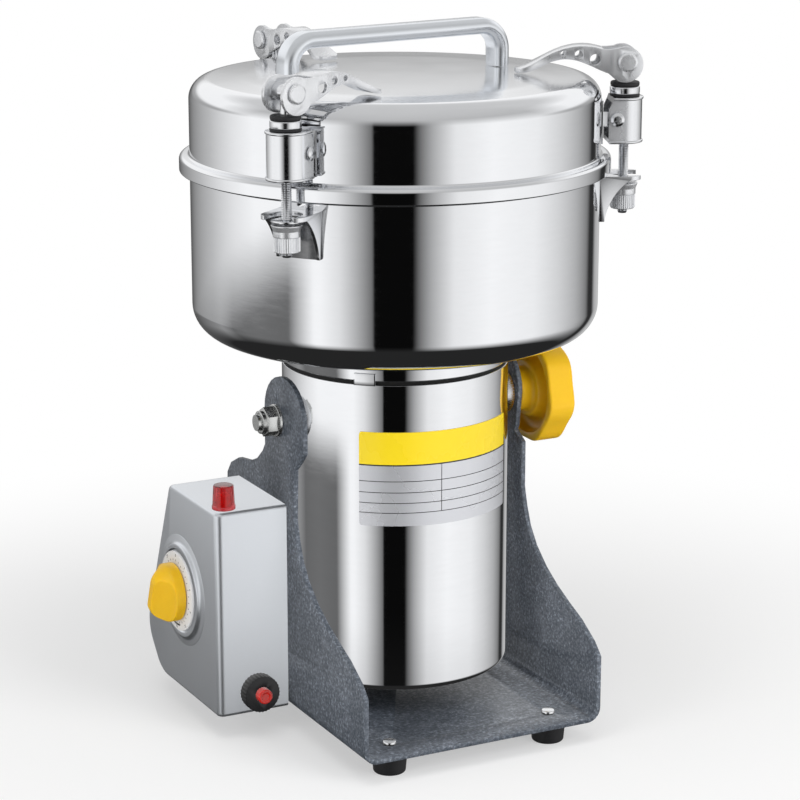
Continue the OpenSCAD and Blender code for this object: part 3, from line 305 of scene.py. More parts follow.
def lid_top_finish():
    """Turned steel: its highlights fan out from the middle."""
    made = brushed_finish("lid_top_steel", (0.90, 0.91, 0.93), (0.95, 0.96, 0.98),
                          (0.10, 0.15), (30, 30, 30), 0.000002, Anisotropic=0.2)
    tangent = add_node(made.tree, "ShaderNodeTangent", direction_type="RADIAL", axis="Z")
    made.feed("Tangent", tangent.outputs[0])
    return made.material


# Finishes
mirror_steel = brushed(
    "mirror_steel", (0.87, 0.88, 0.90), (0.92, 0.93, 0.95), (0.03, 0.07), (60, 60, 300), 0.000002)
lid_steel = lid_top_finish()
chrome = brushed(
    "polished_clamp_chrome", (0.82, 0.83, 0.85), (0.90, 0.91, 0.93), (0.10, 0.20), (300, 300, 900),
    0.000004)
cast_chrome = grained(
    "cast_lever_chrome", (0.76, 0.77, 0.79), (0.86, 0.87, 0.89), (0.20, 0.30), 1200.0, 60.0,
    0.00001, Metallic=0.78)
satin_steel = brushed(
    "satin_handle_steel", (0.84, 0.87, 0.91), (0.90, 0.93, 0.97), (0.20, 0.26), (40, 300, 300),
    0.000002)
zinc = brushed(
    "bright_zinc", (0.66, 0.68, 0.68), (0.84, 0.84, 0.82), (0.16, 0.32), (500, 500, 500), 0.00001)
turned_steel = brushed(
    "lathe_turned_steel", (0.60, 0.61, 0.63), (0.76, 0.77, 0.79), (0.18, 0.34), (300, 300, 3000),
    0.00001)
silver_paint = grained(
    "silver_box_paint", (0.72, 0.75, 0.79), (0.82, 0.85, 0.89), (0.27, 0.34), 2600.0, 14.0,
    0.00002, Metallic=0.9, Coat_Weight=0.3, Coat_Roughness=0.18)
yellow_plastic = grained(
    "yellow_knob_plastic", (0.90, 0.50, 0.004), (0.97, 0.60, 0.010), (0.30, 0.38), 700.0, 40.0,
    0.00003, Subsurface_Weight=0.06, Subsurface_Scale=0.003)
black_plastic = grained(
    "moulded_black_plastic", (0.006, 0.006, 0.007), (0.016, 0.016, 0.018), (0.32, 0.42), 900.0,
    60.0, 0.00005)
black_paint = grained(
    "matt_black_paint", (0.003, 0.003, 0.003), (0.007, 0.007, 0.007), (0.55, 0.7), 800.0, 40.0,
    0.00004)
rubber = grained(
    "foot_rubber", (0.008, 0.008, 0.009), (0.018, 0.018, 0.020), (0.45, 0.6), 1500.0, 50.0, 0.0001)
silicone = grained(
    "silicone_seal", (0.62, 0.62, 0.60), (0.72, 0.72, 0.70), (0.4, 0.5), 600.0, 30.0, 0.00003)
cast_metal = grained(
    "cast_grey_metal", (0.34, 0.35, 0.36), (0.50, 0.51, 0.53), (0.45, 0.6), 500.0, 60.0, 0.0002,
    Metallic=0.9)
core_steel = brushed(
    "stacked_core", (0.20, 0.20, 0.21), (0.34, 0.34, 0.35), (0.4, 0.6), (20, 20, 3000), 0.0001)
copper = brushed(
    "enamelled_copper", (0.45, 0.16, 0.06), (0.66, 0.28, 0.10), (0.25, 0.4), (200, 200, 1500),
    0.0001)
carbon = grained(
    "carbon_brush", (0.02, 0.02, 0.022), (0.05, 0.05, 0.05), (0.5, 0.6), 800.0, 80.0, 0.00005)
fan_plastic = grained(
    "fan_wheel_plastic", (0.05, 0.055, 0.06), (0.09, 0.095, 0.10), (0.4, 0.5), 900.0, 40.0,
    0.00005)
timer_case_plastic = grained(
    "timer_case_plastic", (0.72, 0.72, 0.70), (0.80, 0.80, 0.78), (0.4, 0.5), 900.0, 40.0, 0.00004)
red_plastic = grained(
    "red_button_plastic", (0.60, 0.012, 0.008), (0.74, 0.028, 0.015), (0.16, 0.24), 700.0, 40.0,
    0.00002, Coat_Weight=0.4, Coat_Roughness=0.1)
print_black = grained(
    "dial_ink", (0.012, 0.012, 0.012), (0.025, 0.025, 0.025), (0.4, 0.5), 900.0, 30.0, 0.00001)


def hammer_paint_finish():
    """Grey-blue coat with small pits and mounds, paler specks and rubbed spots."""
    made = Finish("hammer_paint", Metallic=0.3, Coat_Weight=0.35, Coat_Roughness=0.2)
    tree = made.tree
    place = object_place(tree)
    cells = add_node(tree, "ShaderNodeTexVoronoi", {
        "Vector": place, "Scale": 420.0, "Randomness": 1.0}, feature="SMOOTH_F1")
    speck = noise(tree, place, 560.0, 3.0, 0.6)
    mottle = noise(tree, place, 34.0, 3.0)
    mix = math_node(tree, "MULTIPLY_ADD", speck, 0.8, math_node(tree, "MULTIPLY", mottle, 0.2))
    paint = ramp(tree, mix, [
        (0.34, (0.058, 0.070, 0.088)), (0.48, (0.100, 0.117, 0.143)),
        (0.58, (0.160, 0.182, 0.218)), (0.68, (0.34, 0.38, 0.44))])
    rub = use_group(tree, WEAR, {"Scale": 90.0, "Amount": 0.35})["Mask"]
    made.two_tones(rub, paint, (0.33, 0.36, 0.41))
    made.feed("Roughness", grey_ramp(tree, speck, [(0.3, 0.48), (0.7, 0.32)]))
    height = math_node(tree, "MULTIPLY_ADD", cells.outputs["Distance"], 0.6,
                       math_node(tree, "MULTIPLY", speck, 0.5))
    made.bump(height, 0.00022, 0.6)
    return made.material


hammer_paint = hammer_paint_finish()


def lamp_finish():
    made = Finish("lamp_lens_red", Roughness=0.06, IOR=1.49, Transmission_Weight=0.8,
                  Coat_Weight=0.3)
    out = made.grain(300.0, 90.0)
    made.two_tones(out["Shade"], (0.42, 0.004, 0.006), (0.60, 0.010, 0.012))
    made.bump(out["Height"], 0.00002)
    return made.material


lamp_lens = lamp_finish()
lamp_bulb = grained(
    "lamp_bulb_orange", (0.85, 0.12, 0.03), (0.95, 0.22, 0.06), (0.2, 0.3), 600.0, 60.0, 0.00002)

# Label: its levels, the lines below its top edge, the divider right of the bowl axis, half a
# line's width, and how much lower and wider the first line is
LABEL_TOP = PIVOT_Z + 0.0012
LABEL_FOOT = LABEL_TOP - 0.0586
LABEL_LINES = (0.0201, 0.0306, 0.0376, 0.0442, 0.0504)
LABEL_DIVIDER_X = -0.0045
INK_HALF = 0.00024
FIRST_LINE_DROP = 0.0004
FIRST_LINE_WIDTH = 1.8


def label_finish():
    """Film label with a yellow band over a silver panel of empty rows."""
    made = Finish("printed_film", Coat_Weight=0.25, Coat_Roughness=0.12)
    tree = made.tree
    axes = add_node(tree, "ShaderNodeSeparateXYZ", {"Vector": object_place(tree)}).outputs
    depth = math_node(tree, "SUBTRACT", LABEL_TOP, axes["Z"])
    band = math_node(tree, "LESS_THAN", depth, LABEL_LINES[0])
    ink = within(tree, depth, LABEL_LINES[0] + FIRST_LINE_DROP, INK_HALF * FIRST_LINE_WIDTH)
    for line in LABEL_LINES[1:]:
        ink = math_node(tree, "MAXIMUM", ink, within(tree, depth, line, INK_HALF))
    divider = within(tree, axes["X"], AXIS_X + LABEL_DIVIDER_X, INK_HALF)
    inside = math_node(tree, "MULTIPLY", math_node(tree, "GREATER_THAN", depth, LABEL_LINES[0]),
                       math_node(tree, "LESS_THAN", depth, LABEL_LINES[-1]))
    ink = math_node(tree, "MAXIMUM", ink, math_node(tree, "MULTIPLY", divider, inside))
    out = made.grain(1800.0, 30.0, (0.24, 0.32))
    panel = mix_colour(tree, out["Shade"], (0.64, 0.65, 0.68), (0.76, 0.77, 0.81))
    yellow = mix_colour(tree, out["Shade"], (0.93, 0.67, 0.002), (0.98, 0.75, 0.006))
    made.two_tones(ink, mix_colour(tree, band, panel, yellow), (0.015, 0.015, 0.015))
    made.feed("Roughness", out["Roughness"])
    bare = math_node(tree, "SUBTRACT", 1.0, math_node(tree, "MAXIMUM", band, ink))
    made.feed("Metallic", math_node(tree, "MULTIPLY", bare, 0.5))
    return made.material


label_film = label_finish()

# Dial: its centre, the radii of its marks and its arc, half the width of both rings, half a
# mark as a share of the step between marks, and where the arc starts as a share of a turn
DIAL_Y, DIAL_Z = AXIS_Y + 0.0425, PIVOT_Z - 0.115
DIAL_MARKS = 30
MARK_R, ARC_R, PRINT_HALF = 0.0201, 0.0216, 0.0006
HALF_MARK = 0.07
ARC_FROM = 0.462


def dial_finish():
    """White dial with a ring of fine marks and a black arc at its foot."""
    made = Finish("dial_face_white")
    tree = made.tree
    axes = add_node(tree, "ShaderNodeSeparateXYZ", {"Vector": object_place(tree)}).outputs
    across = math_node(tree, "SUBTRACT", axes["Y"], DIAL_Y)
    up = math_node(tree, "SUBTRACT", axes["Z"], DIAL_Z)
    squares = [math_node(tree, "MULTIPLY", value, value) for value in (across, up)]
    reach = math_node(tree, "SQRT", math_node(tree, "ADD", *squares))
    share = math_node(tree, "DIVIDE", math_node(tree, "ARCTAN2", across, up), TURN)
    step = math_node(tree, "PINGPONG", math_node(tree, "MULTIPLY", share, float(DIAL_MARKS)), 0.5)
    mark = math_node(tree, "MULTIPLY", math_node(tree, "LESS_THAN", step, HALF_MARK),
                     within(tree, reach, MARK_R, PRINT_HALF))
    foot = math_node(tree, "GREATER_THAN", math_node(tree, "ABSOLUTE", share), ARC_FROM)
    arc = math_node(tree, "MULTIPLY", foot, within(tree, reach, ARC_R, PRINT_HALF))
    out = made.grain(900.0, 30.0, (0.3, 0.38))
    white = mix_colour(tree, out["Shade"], (0.80, 0.80, 0.80), (0.88, 0.88, 0.88))
    made.two_tones(math_node(tree, "MAXIMUM", mark, arc), white, (0.02, 0.02, 0.02))
    made.feed("Roughness", out["Roughness"])
    return made.material


dial_white = dial_finish()


# Modelling helpers

def deselect():
    bpy.ops.object.select_all(action="DESELECT")


def make_active(piece):
    deselect()
    piece.select_set(True)
    bpy.context.view_layer.objects.active = piece


def edit(piece):
    """Edit mode with vertex selection, which extrude and spin need."""
    make_active(piece)
    bpy.ops.object.mode_set(mode="EDIT")
    bpy.ops.mesh.select_mode(type="VERT")


def leave_edit():
    bpy.ops.object.mode_set(mode="OBJECT")


def take_all():
    bpy.ops.mesh.select_all(action="SELECT")


def weld(distance=EPS):
    take_all()
    bpy.ops.mesh.remove_doubles(threshold=distance)


def face_out():
    take_all()
    bpy.ops.mesh.normals_make_consistent(inside=False)


def spin(steps, angle, centre, along=UP):
    take_all()
    bpy.ops.mesh.spin(steps=steps, angle=angle, center=centre, axis=along)


def choose(kind, test):
    """In edit mode, selects the vertices, edges or faces that pass a test."""
    bpy.ops.mesh.select_mode(type=kind)
    bpy.ops.mesh.select_all(action="DESELECT")
    mesh = bmesh.from_edit_mesh(bpy.context.object.data)
    for item in {"VERT": mesh.verts, "EDGE": mesh.edges, "FACE": mesh.faces}[kind]:
        if test(item):
            item.select_set(True)
    mesh.select_flush_mode()
    bmesh.update_edit_mesh(bpy.context.object.data)


def middle(item):
    points = [v.co for v in item.verts]
    return sum(points, Vector()) / len(points)


def settle(piece):
    """Puts the object at the origin, with its place in its mesh."""
    make_active(piece)
    bpy.ops.object.transform_apply(location=True, rotation=True, scale=True)


def merge_and_face_out(piece, distance=EPS):
    edit(piece)
    weld(distance)
    face_out()
    leave_edit()


def apply_modifier(piece, kind, **settings):
    make_active(piece)
    made = piece.modifiers.new(kind.lower(), kind)
    for key, value in settings.items():
        setattr(made, key, value)
    bpy.ops.object.modifier_apply(modifier=made.name)


def soften(piece, width, segments=3, angle=30.0):
    """Rounds every edge sharper than an angle."""
    apply_modifier(piece, "BEVEL", width=width, segments=segments, limit_method="ANGLE",
                   angle_limit=math.radians(angle), use_clamp_overlap=True,
                   miter_outer="MITER_ARC")


def smooth(piece, angle=35.0):
    make_active(piece)
    bpy.ops.object.shade_smooth_by_angle(angle=math.radians(angle))


def combine(piece, other, operation):
    """Boolean of two solids, left in the first; the second is deleted."""
    apply_modifier(piece, "BOOLEAN", operation=operation, solver="EXACT", object=other)
    bpy.data.objects.remove(other, do_unlink=True)


def cut_with(piece, cutter):
    combine(piece, cutter, "DIFFERENCE")


def fuse(piece, other):
    combine(piece, other, "UNION")


def keep_inside(piece, other):
    combine(piece, other, "INTERSECT")


def copy_of(piece, name):
    """A copy with its own mesh."""
    made = bpy.data.objects.new(name, piece.data.copy())
    bpy.context.scene.collection.objects.link(made)
    return made


def melt(piece, voxel, rounds):
    """Turns a hard-edged solid into a soft moulding: fine even mesh, then smoothed."""
    apply_modifier(piece, "REMESH", mode="VOXEL", voxel_size=voxel)
    apply_modifier(piece, "SMOOTH", factor=0.5, iterations=rounds)


def give(piece, *materials):
    """Replaces the materials of a piece."""
    piece.data.materials.clear()
    for material in materials:
        piece.data.materials.append(material)


def paint_faces(piece, index, test):
    """Gives the faces that pass a test the material of an index."""
    edit(piece)
    choose("FACE", test)
    bpy.context.object.active_material_index = index
    bpy.ops.object.material_slot_assign()
    leave_edit()


def join(piece, *others):
    deselect()
    for other in others:
        other.select_set(True)
    piece.select_set(True)
    bpy.context.view_layer.objects.active = piece
    bpy.ops.object.join()


def dress(piece, body, slot, *materials, stands_for=()):
    """Gives a finished piece its materials and its body; its slot is not used."""
    settle(piece)
    if materials:
        give(piece, *materials)
    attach(piece, body)
    if stands_for:
        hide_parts(*stands_for)
    deselect()


def through(points, steps):
    """Smooth line through points."""
    out = []
    for i in range(len(points) - 1):
        a = Vector(points[max(i - 1, 0)])
        b, c = Vector(points[i]), Vector(points[i + 1])
        d = Vector(points[min(i + 2, len(points) - 1)])
        for k in range(steps):
            t = k / steps
            out.append(tuple(0.5 * (2 * b + (c - a) * t + (2 * a - 5 * b + 4 * c - d) * t * t
                                    + (3 * b - a - 3 * c + d) * t * t * t)))
    return out + [tuple(points[-1])]


def on_circle(centre, radius, angle):
    return (centre[0] + radius * math.cos(angle), centre[1] + radius * math.sin(angle))


def arc_points(centre, radius, start, stop, steps):
    """Points of an arc, angles in degrees."""
    return [on_circle(centre, radius, math.radians(start + (stop - start) * i / steps))
            for i in range(steps + 1)]


def rounded(points, radii, steps):
    """Outline with rounded corners, in the order given."""
    out = []
    for i, (point, radius) in enumerate(zip(points, radii)):
        if radius <= 0:
            out.append(tuple(point))
            continue
        here = Vector(point)
        u = (Vector(points[i - 1]) - here).normalized()
        v = (Vector(points[(i + 1) % len(points)]) - here).normalized()
        half = u.angle(v) / 2
        centre = here + (u + v).normalized() * radius / math.sin(half)
        a = here + u * radius / math.tan(half) - centre
        b = here + v * radius / math.tan(half) - centre
        start = math.atan2(a.y, a.x)
        turn = (math.atan2(b.y, b.x) - start + math.pi) % TURN - math.pi
        out += [on_circle(centre, radius, start + turn * k / steps) for k in range(steps + 1)]
    return out


def mirrored(line):
    """Closed outline from one side of it."""
    return [(x, -y) for x, y in line] + line[::-1]


def mm(x, y, z):
    """Point from millimetres."""
    return (x * MM, y * MM, z * MM)


def beside(x, y, z):
    """Point from millimetres right of, behind and above the bowl axis at the floor."""
    return (AXIS_X + x * MM, AXIS_Y + y * MM, z * MM)


def on_rim(radius, angle, height):
    """Point round the bowl axis, from millimetres and degrees."""
    return (AXIS_X + radius * MM * math.cos(math.radians(angle)),
            AXIS_Y + radius * MM * math.sin(math.radians(angle)), height * MM)


def draw_line(name, points):
    """Draws a line of edges through points, each one extruded from the last."""
    deselect()
    bpy.ops.mesh.primitive_plane_add(size=MM, location=points[0])
    piece = bpy.context.object
    piece.name = name
    edit(piece)
    take_all()
    bpy.ops.mesh.merge(type="CENTER")
    here = Vector(points[0])
    for point in points[1:]:
        step = Vector(point) - here
        bpy.ops.mesh.extrude_vertices_move(TRANSFORM_OT_translate={"value": step})
        here = Vector(point)
    leave_edit()
    return piece


def turned(name, profile, steps, centre, along=UP):
    """Spins a closed profile of (radius, height) points in millimetres round an axis."""
    centre, along = Vector(centre), Vector(along)
    outward = Vector(RIGHT if along.z else UP)
    points = [centre + outward * (r * MM) + along * (h * MM) for r, h in profile]
    piece = draw_line(name, points + [points[0]])
    settle(piece)
    edit(piece)
    weld()
    spin(steps, TURN, centre, along)
    weld()
    bpy.ops.mesh.delete_loose()
    face_out()
    leave_edit()
    return piece


def head_turned(name, profile):
    """Turned piece round the bowl axis, heights above the floor."""
    piece = turned(name, profile, HEAD_STEPS, HEAD_CENTRE)
    smooth(piece)
    return piece


def wrapped(name, radius, angle, wide, low, high, steps):
    """Sheet wrapped round the bowl axis from an angle on, in edit mode."""
    piece = draw_line(name, [on_rim(radius, angle, low), on_rim(radius, angle, high)])
    settle(piece)
    edit(piece)
    spin(steps, math.radians(wide), HEAD_CENTRE)
    return piece


def plate(name, outline, thickness):
    """Fills a flat outline of points and draws it out by a vector."""
    piece = draw_line(name, outline)
    edit(piece)
    take_all()
    bpy.ops.mesh.edge_face_add()
    take_all()
    bpy.ops.mesh.extrude_region_move(TRANSFORM_OT_translate={"value": Vector(thickness)})
    face_out()
    leave_edit()
    settle(piece)
    return piece


def side_plate(name, outline, half):
    """Plate from its outline seen from the side, half its thickness either way."""
    return plate(name, [mm(x, -half, z) for x, z in outline], (0, 2 * half * MM, 0))


def level_plate(name, outline, low, high):
    """Plate from its outline seen from above, between two levels."""
    return plate(name, [mm(x, y, low) for x, y in outline], (0, 0, (high - low) * MM))


def rod(name, start, stop, radius, steps=48):
    """Round bar from one point to another, its radius in millimetres."""
    start, stop = Vector(start), Vector(stop)
    way = stop - start
    deselect()
    bpy.ops.mesh.primitive_cylinder_add(vertices=steps, radius=radius * MM, depth=way.length,
                                        location=(start + stop) / 2,
                                        rotation=way.to_track_quat("Z", "Y").to_euler())
    piece = bpy.context.object
    piece.name = name
    settle(piece)
    return piece


def cross_rod(name, x, z, half, radius, steps=48):
    """Round bar along Y."""
    return rod(name, mm(x, -half, z), mm(x, half, z), radius, steps)


def rounded_copy(node, name, width):
    """Copy of a CAD node with its triangles merged and its edges rounded."""
    piece = copy_of(nodes[node], name)
    give(piece)
    edit(piece)
    weld(2 * EPS)
    bpy.ops.mesh.dissolve_limited(angle_limit=math.radians(0.5))
    leave_edit()
    if width > 0:
        soften(piece, width, 2)
    smooth(piece)
    return piece


# Motor head: the turned steel pieces, in millimetres
FINE = 14
BOWL_R, BOWL_WALL, BOWL_CORNER = 125.0, 2.0, 19
BOWL_BORE = 14.05
BOWL_BOTTOM, BOWL_RIM = BOWL_LOW.z / MM, BOWL_HIGH.z / MM
BEAD_R, BEAD_FOOT = 129.9, BOWL_RIM - 4.0
HOUSING_R, HOUSING_WALL = 70.4, 1.5
HOUSING_OPENING = 48
NECK_WALL = 3


def make_bowl():
    inner, floor = BOWL_R - BOWL_WALL, BOWL_BOTTOM + BOWL_WALL
    piece = head_turned("bowl", rounded(
        [(BOWL_BORE, BOWL_BOTTOM), (BOWL_R, BOWL_BOTTOM), (BOWL_R, BEAD_FOOT),
         (BEAD_R, BEAD_FOOT), (BEAD_R, BOWL_RIM), (inner, BOWL_RIM), (inner, floor),
         (BOWL_BORE, floor)],
        [0, BOWL_CORNER, 1.0, 1.6, 1.6, 0.6, BOWL_CORNER - BOWL_WALL, 0], FINE))
    dress(piece, "head", "polished_steel", mirror_steel, stands_for=["grinding_bowl"])


DOME_RISE, DOME_STEPS = 1.0, 12
LID_RIM, LID_TOP = 352.6, LID_HIGH.z / MM - DOME_RISE
LID_CORNER, LID_WALL = 12.5, 1.5
LID_LEDGE = LID_RIM + 4.6
LID_BAND = 14
SKIRT_R, SKIRT_WALL, SKIRT_LOW = 131.4, 1.1, BOWL_RIM - 3.2
SPIGOT_R, SPIGOT_WALL, SPIGOT_LOW = BOWL_R - BOWL_WALL - 0.5, 2, LID_RIM - 7


def dome_line(radius, height, rings):
    """Points of the lid's shallow dome, one for each ring from its edge inwards."""
    return [(radius * (1 - i / DOME_STEPS), height + DOME_RISE * (1 - (1 - i / DOME_STEPS) ** 2))
            for i in rings]


def make_lid():
    top_r, top_low = BOWL_R - LID_CORNER, LID_TOP - LID_WALL
    inner = BOWL_R - LID_WALL
    outside = rounded(
        [(SPIGOT_R - SPIGOT_WALL, SPIGOT_LOW), (SPIGOT_R, SPIGOT_LOW), (SPIGOT_R, LID_RIM),
         (SKIRT_R - SKIRT_WALL, LID_RIM), (SKIRT_R - SKIRT_WALL, SKIRT_LOW),
         (SKIRT_R, SKIRT_LOW), (SKIRT_R, LID_LEDGE), (BOWL_R, LID_LEDGE), (BOWL_R, LID_TOP),
         (top_r - LID_BAND, LID_TOP)],
        [0, 0.5, 0, 0.4, 0.3, 0.7, 2.6, 1.6, LID_CORNER, 0], FINE)
    rings = range(2, DOME_STEPS + 1)
    domes = dome_line(top_r, LID_TOP, rings)
    domes += dome_line(top_r - LID_WALL, top_low, reversed(rings))
    inside = rounded(
        [(top_r - LID_BAND, top_low), (inner, top_low), (inner, LID_LEDGE),
         (SPIGOT_R - SPIGOT_WALL, LID_LEDGE)],
        [0, LID_CORNER - LID_WALL, 0.5, 0], FINE)
    piece = head_turned("lid_cover", outside + domes + inside)
    give(piece, mirror_steel, lid_steel)
    paint_faces(piece, 1, lambda f: f.normal.z > 0.98 and middle(f).z > (LID_TOP - 0.5) * MM)
    dress(piece, "lid", "polished_steel", stands_for=["lid"])


def make_housing():
    low, high = HOUSING_LOW.z / MM, HOUSING_HIGH.z / MM
    inner, floor = HOUSING_R - HOUSING_WALL, low + HOUSING_WALL
    piece = head_turned("motor_tube", rounded(
        [(HOUSING_OPENING, low), (HOUSING_R, low), (HOUSING_R, high), (inner, high),
         (inner, floor), (HOUSING_OPENING, floor)],
        [0.4, 4, 0.5, 0.3, 2.5, 0.4], FINE))
    dress(piece, "head", "polished_steel", mirror_steel, stands_for=["motor_housing"])


def make_neck():
    """Band over the seam, with a hooked tab at the front."""
    low, high = NECK_LOW.z / MM, NECK_HIGH.z / MM
    inner = HOUSING_R - NECK_WALL
    piece = head_turned("neck_band", rounded(
        [(inner, low), (HOUSING_R, low), (HOUSING_R, high), (inner, high)],
        [0.4, 0.8, 0.5, 0.4], 6))
    tab = wrapped("neck_tab", HOUSING_R + 0.5, -126.5, 11.0, low - 2.4, low + 5.0, 12)
    leave_edit()
    apply_modifier(tab, "SOLIDIFY", thickness=0.8 * MM, offset=0.0)
    merge_and_face_out(tab)
    soften(tab, 0.3 * MM, 2)
    join(piece, tab)
    smooth(piece)
    dress(piece, "head", "polished_steel", mirror_steel, stands_for=["neck_ring"])


# Edges of the label round the bowl axis, in degrees
LABEL_RIGHT, LABEL_LEFT = -46.0, -135.0


def make_label():
    """Film with rounded corners, wrapped round the front of the motor tube."""
    piece = wrapped("label", HOUSING_R + 0.1, LABEL_RIGHT, LABEL_RIGHT - LABEL_LEFT,
                    LABEL_FOOT / MM, LABEL_TOP / MM, 96)
    weld()
    choose("VERT", lambda v: len(v.link_edges) == 2)
    bpy.ops.mesh.bevel(offset=2.8 * MM, segments=6, affect="VERTICES", clamp_overlap=False)
    leave_edit()
    apply_modifier(piece, "SOLIDIFY", thickness=0.3 * MM, offset=1.0)
    merge_and_face_out(piece)
    smooth(piece)
    dress(piece, "head", "label_film", label_film, stands_for=["rating_label"])


make_bowl()
make_lid()
make_housing()
make_neck()
make_label()


# Handle: half its length, its bar's two sides and its bend, in millimetres
HANDLE_HALF, HANDLE_BAR, HANDLE_WIDE, HANDLE_CORNER = 76.5, 10.0, 17.0, 20.0
HANDLE_TURN = math.radians(7)


def make_handle():
    """Round-cornered bar bent twice, turned a little on the lid."""
    low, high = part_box("lid_handle")
    foot, top = low.z / MM, high.z / MM
    out, inner = HANDLE_HALF + HANDLE_BAR / 2, HANDLE_HALF - HANDLE_BAR / 2
    under, bend = top - HANDLE_BAR, HANDLE_CORNER - HANDLE_BAR
    piece = side_plate("handle_bar", rounded(
        [(-out, foot), (-out, top), (out, top), (out, foot), (inner, foot), (inner, under),
         (-inner, under), (-inner, foot)],
        [0, HANDLE_CORNER, HANDLE_CORNER, 0, 0, bend, bend, 0], FINE), HANDLE_WIDE / 2)
    edit(piece)
    choose("EDGE", lambda e: abs(abs(middle(e).y) - HANDLE_WIDE / 2 * MM) < EPS
           and abs(e.verts[0].co.y - e.verts[1].co.y) < EPS and middle(e).z > foot * MM + EPS)
    bpy.ops.mesh.bevel(offset=4.8 * MM, segments=8, profile=0.5, affect="EDGES",
                       clamp_overlap=False)
    leave_edit()
    piece.rotation_euler = (0, 0, HANDLE_TURN)
    piece.location = HEAD_CENTRE
    smooth(piece, 40)
    dress(piece, "lid", "handle_steel", satin_steel, stands_for=["lid_handle"])


make_handle()


# Control box with its outline behind the bowl axis and above the floor, its fittings, the
# lock knob and the feet, in millimetres
BOX_TOP = 147.0
BOX_OUTLINE = [(-12.8, 15.5), (-12.8, BOX_TOP), (62.0, BOX_TOP), (105.0, 42.0), (82.0, 15.5)]
BOX_RADII = [0, 0, 6, 22, 22]
RING_RISE = 2.6
NUMBERS, MINUTES_EACH = 10, 3
NUMBER_R, NUMBER_SIZE = 23.3, 2.6
# Turns figures upright, to be read from the left
FACING_LEFT = Matrix(((0, 0, -1, 0), (-1, 0, 0, 0), (0, 1, 0, 0), (0, 0, 0, 1)))
GRIP_R, GRIP_RISE, GRIP_LEAN = 18.5, 17, math.radians(20)
SCOOP_R, SCOOP_OUT, SCOOP_AHEAD = 17, 18.7, 6.5
LENS_RIBS, LENS_STEPS = 12, 96
WHEEL_R, WHEEL_WAVE, WHEEL_LOBES, WHEEL_STEPS = 35.0, 2.2, 7, 168
WHEEL_FROM, WHEEL_DEEP, HUB_FROM = 92.6, 18, 83.6
FOOT_H, FOOT_X, FOOT_Y = 14.0, 55, 100


def make_control_box():
    """Hollow cover, open towards the stand, with the ring round its dial."""
    low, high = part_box("control_box")
    face, back = low.x + RING_RISE * MM, high.x
    outline = rounded(BOX_OUTLINE, BOX_RADII, 10)
    piece = plate("box_cover", [(face, AXIS_Y + y * MM, z * MM) for y, z in outline],
                  (back - face, 0, 0))
    edit(piece)
    choose("EDGE", lambda e: abs(middle(e).x - face) < EPS and abs(middle(e).y - low.y) < EPS)
    bpy.ops.mesh.bevel(offset=4.6 * MM, segments=8, affect="EDGES")
    choose("FACE", lambda f: f.normal.x > 0.9)
    bpy.ops.mesh.delete(type="FACE")
    leave_edit()
    soften(piece, 2.4 * MM, 5, 40.0)
    apply_modifier(piece, "SOLIDIFY", thickness=1.4 * MM, offset=-1.0)
    join(piece, turned("box_ring", rounded(
        [(6, -1.0), (35.5, -1.0), (35.5, 0.1), (31.0, 0.7), (29.6, RING_RISE), (26.6, RING_RISE),
         (26.2, 1.2), (6, 1.2)],
        [0, 0, 0.3, 3.0, 1.4, 0.8, 0.3, 0], 8), 128, (face, DIAL_Y, DIAL_Z), LEFT))
    smooth(piece, 30)
    dress(piece, "stand", "silver_paint", silver_paint, stands_for=["control_box"])


def make_dial():
    low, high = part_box("timer_dial")
    piece = turned("dial_disc", rounded(
        [(6, 0), (25.5, 0), (25.5, 1.6), (6, 1.6)], [0, 0.3, 0.6, 0], 4),
        128, (high.x, DIAL_Y, DIAL_Z), LEFT)
    smooth(piece)
    dress(piece, "stand", "dial_print", dial_white, stands_for=["timer_dial"])
    numbers = []
    for i in range(NUMBERS):
        deselect()
        bpy.ops.object.text_add()
        number = bpy.context.object
        number.data.body = str(MINUTES_EACH * i)
        number.data.size = NUMBER_SIZE * MM
        number.data.extrude = 0.04 * MM
        number.data.resolution_u = 3
        number.data.align_x = "CENTER"
        number.data.align_y = "CENTER"
        bpy.ops.object.convert(target="MESH")
        number = bpy.context.object
        turn = Matrix.Rotation(-TURN * i / NUMBERS, 4, LEFT)
        number.matrix_world = (Matrix.Translation((low.x, DIAL_Y, DIAL_Z)) @ turn
                               @ Matrix.Translation((0, 0, NUMBER_R * MM)) @ FACING_LEFT)
        settle(number)
        numbers.append(number)
    join(*numbers)
    numbers[0].name = "dial_numbers"
    merge_and_face_out(numbers[0], EPS / 10)
    dress(numbers[0], "stand", "dial_print", print_black)


def make_timer_knob():
    """Low dome with a scoop on each side, which leaves a ridge to grip."""
    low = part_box("timer_knob")[0]
    piece = turned("timer_grip", rounded(
        [(CORE, 0), (GRIP_R, 0), (GRIP_R, 7.0), (13.5, GRIP_RISE), (CORE, GRIP_RISE)],
        [0, 0.8, 3.0, 8.0, 0], 10), 96, (low.x + GRIP_RISE * MM, DIAL_Y, DIAL_Z), LEFT)
    along = Vector((0, -math.sin(GRIP_LEAN), math.cos(GRIP_LEAN)))
    side = Vector((0, math.cos(GRIP_LEAN), math.sin(GRIP_LEAN)))
    for s in (-1, 1):
        place = Vector((low.x - SCOOP_AHEAD * MM, DIAL_Y, DIAL_Z)) + side * s * SCOOP_OUT * MM
        cut_with(piece, rod("scoop", place - along * 0.05, place + along * 0.05, SCOOP_R, 96))
    melt(piece, 0.4 * MM, 14)
    smooth(piece, 60)
    dress(piece, "timer_knob", "yellow_plastic", yellow_plastic, stands_for=["timer_knob"])


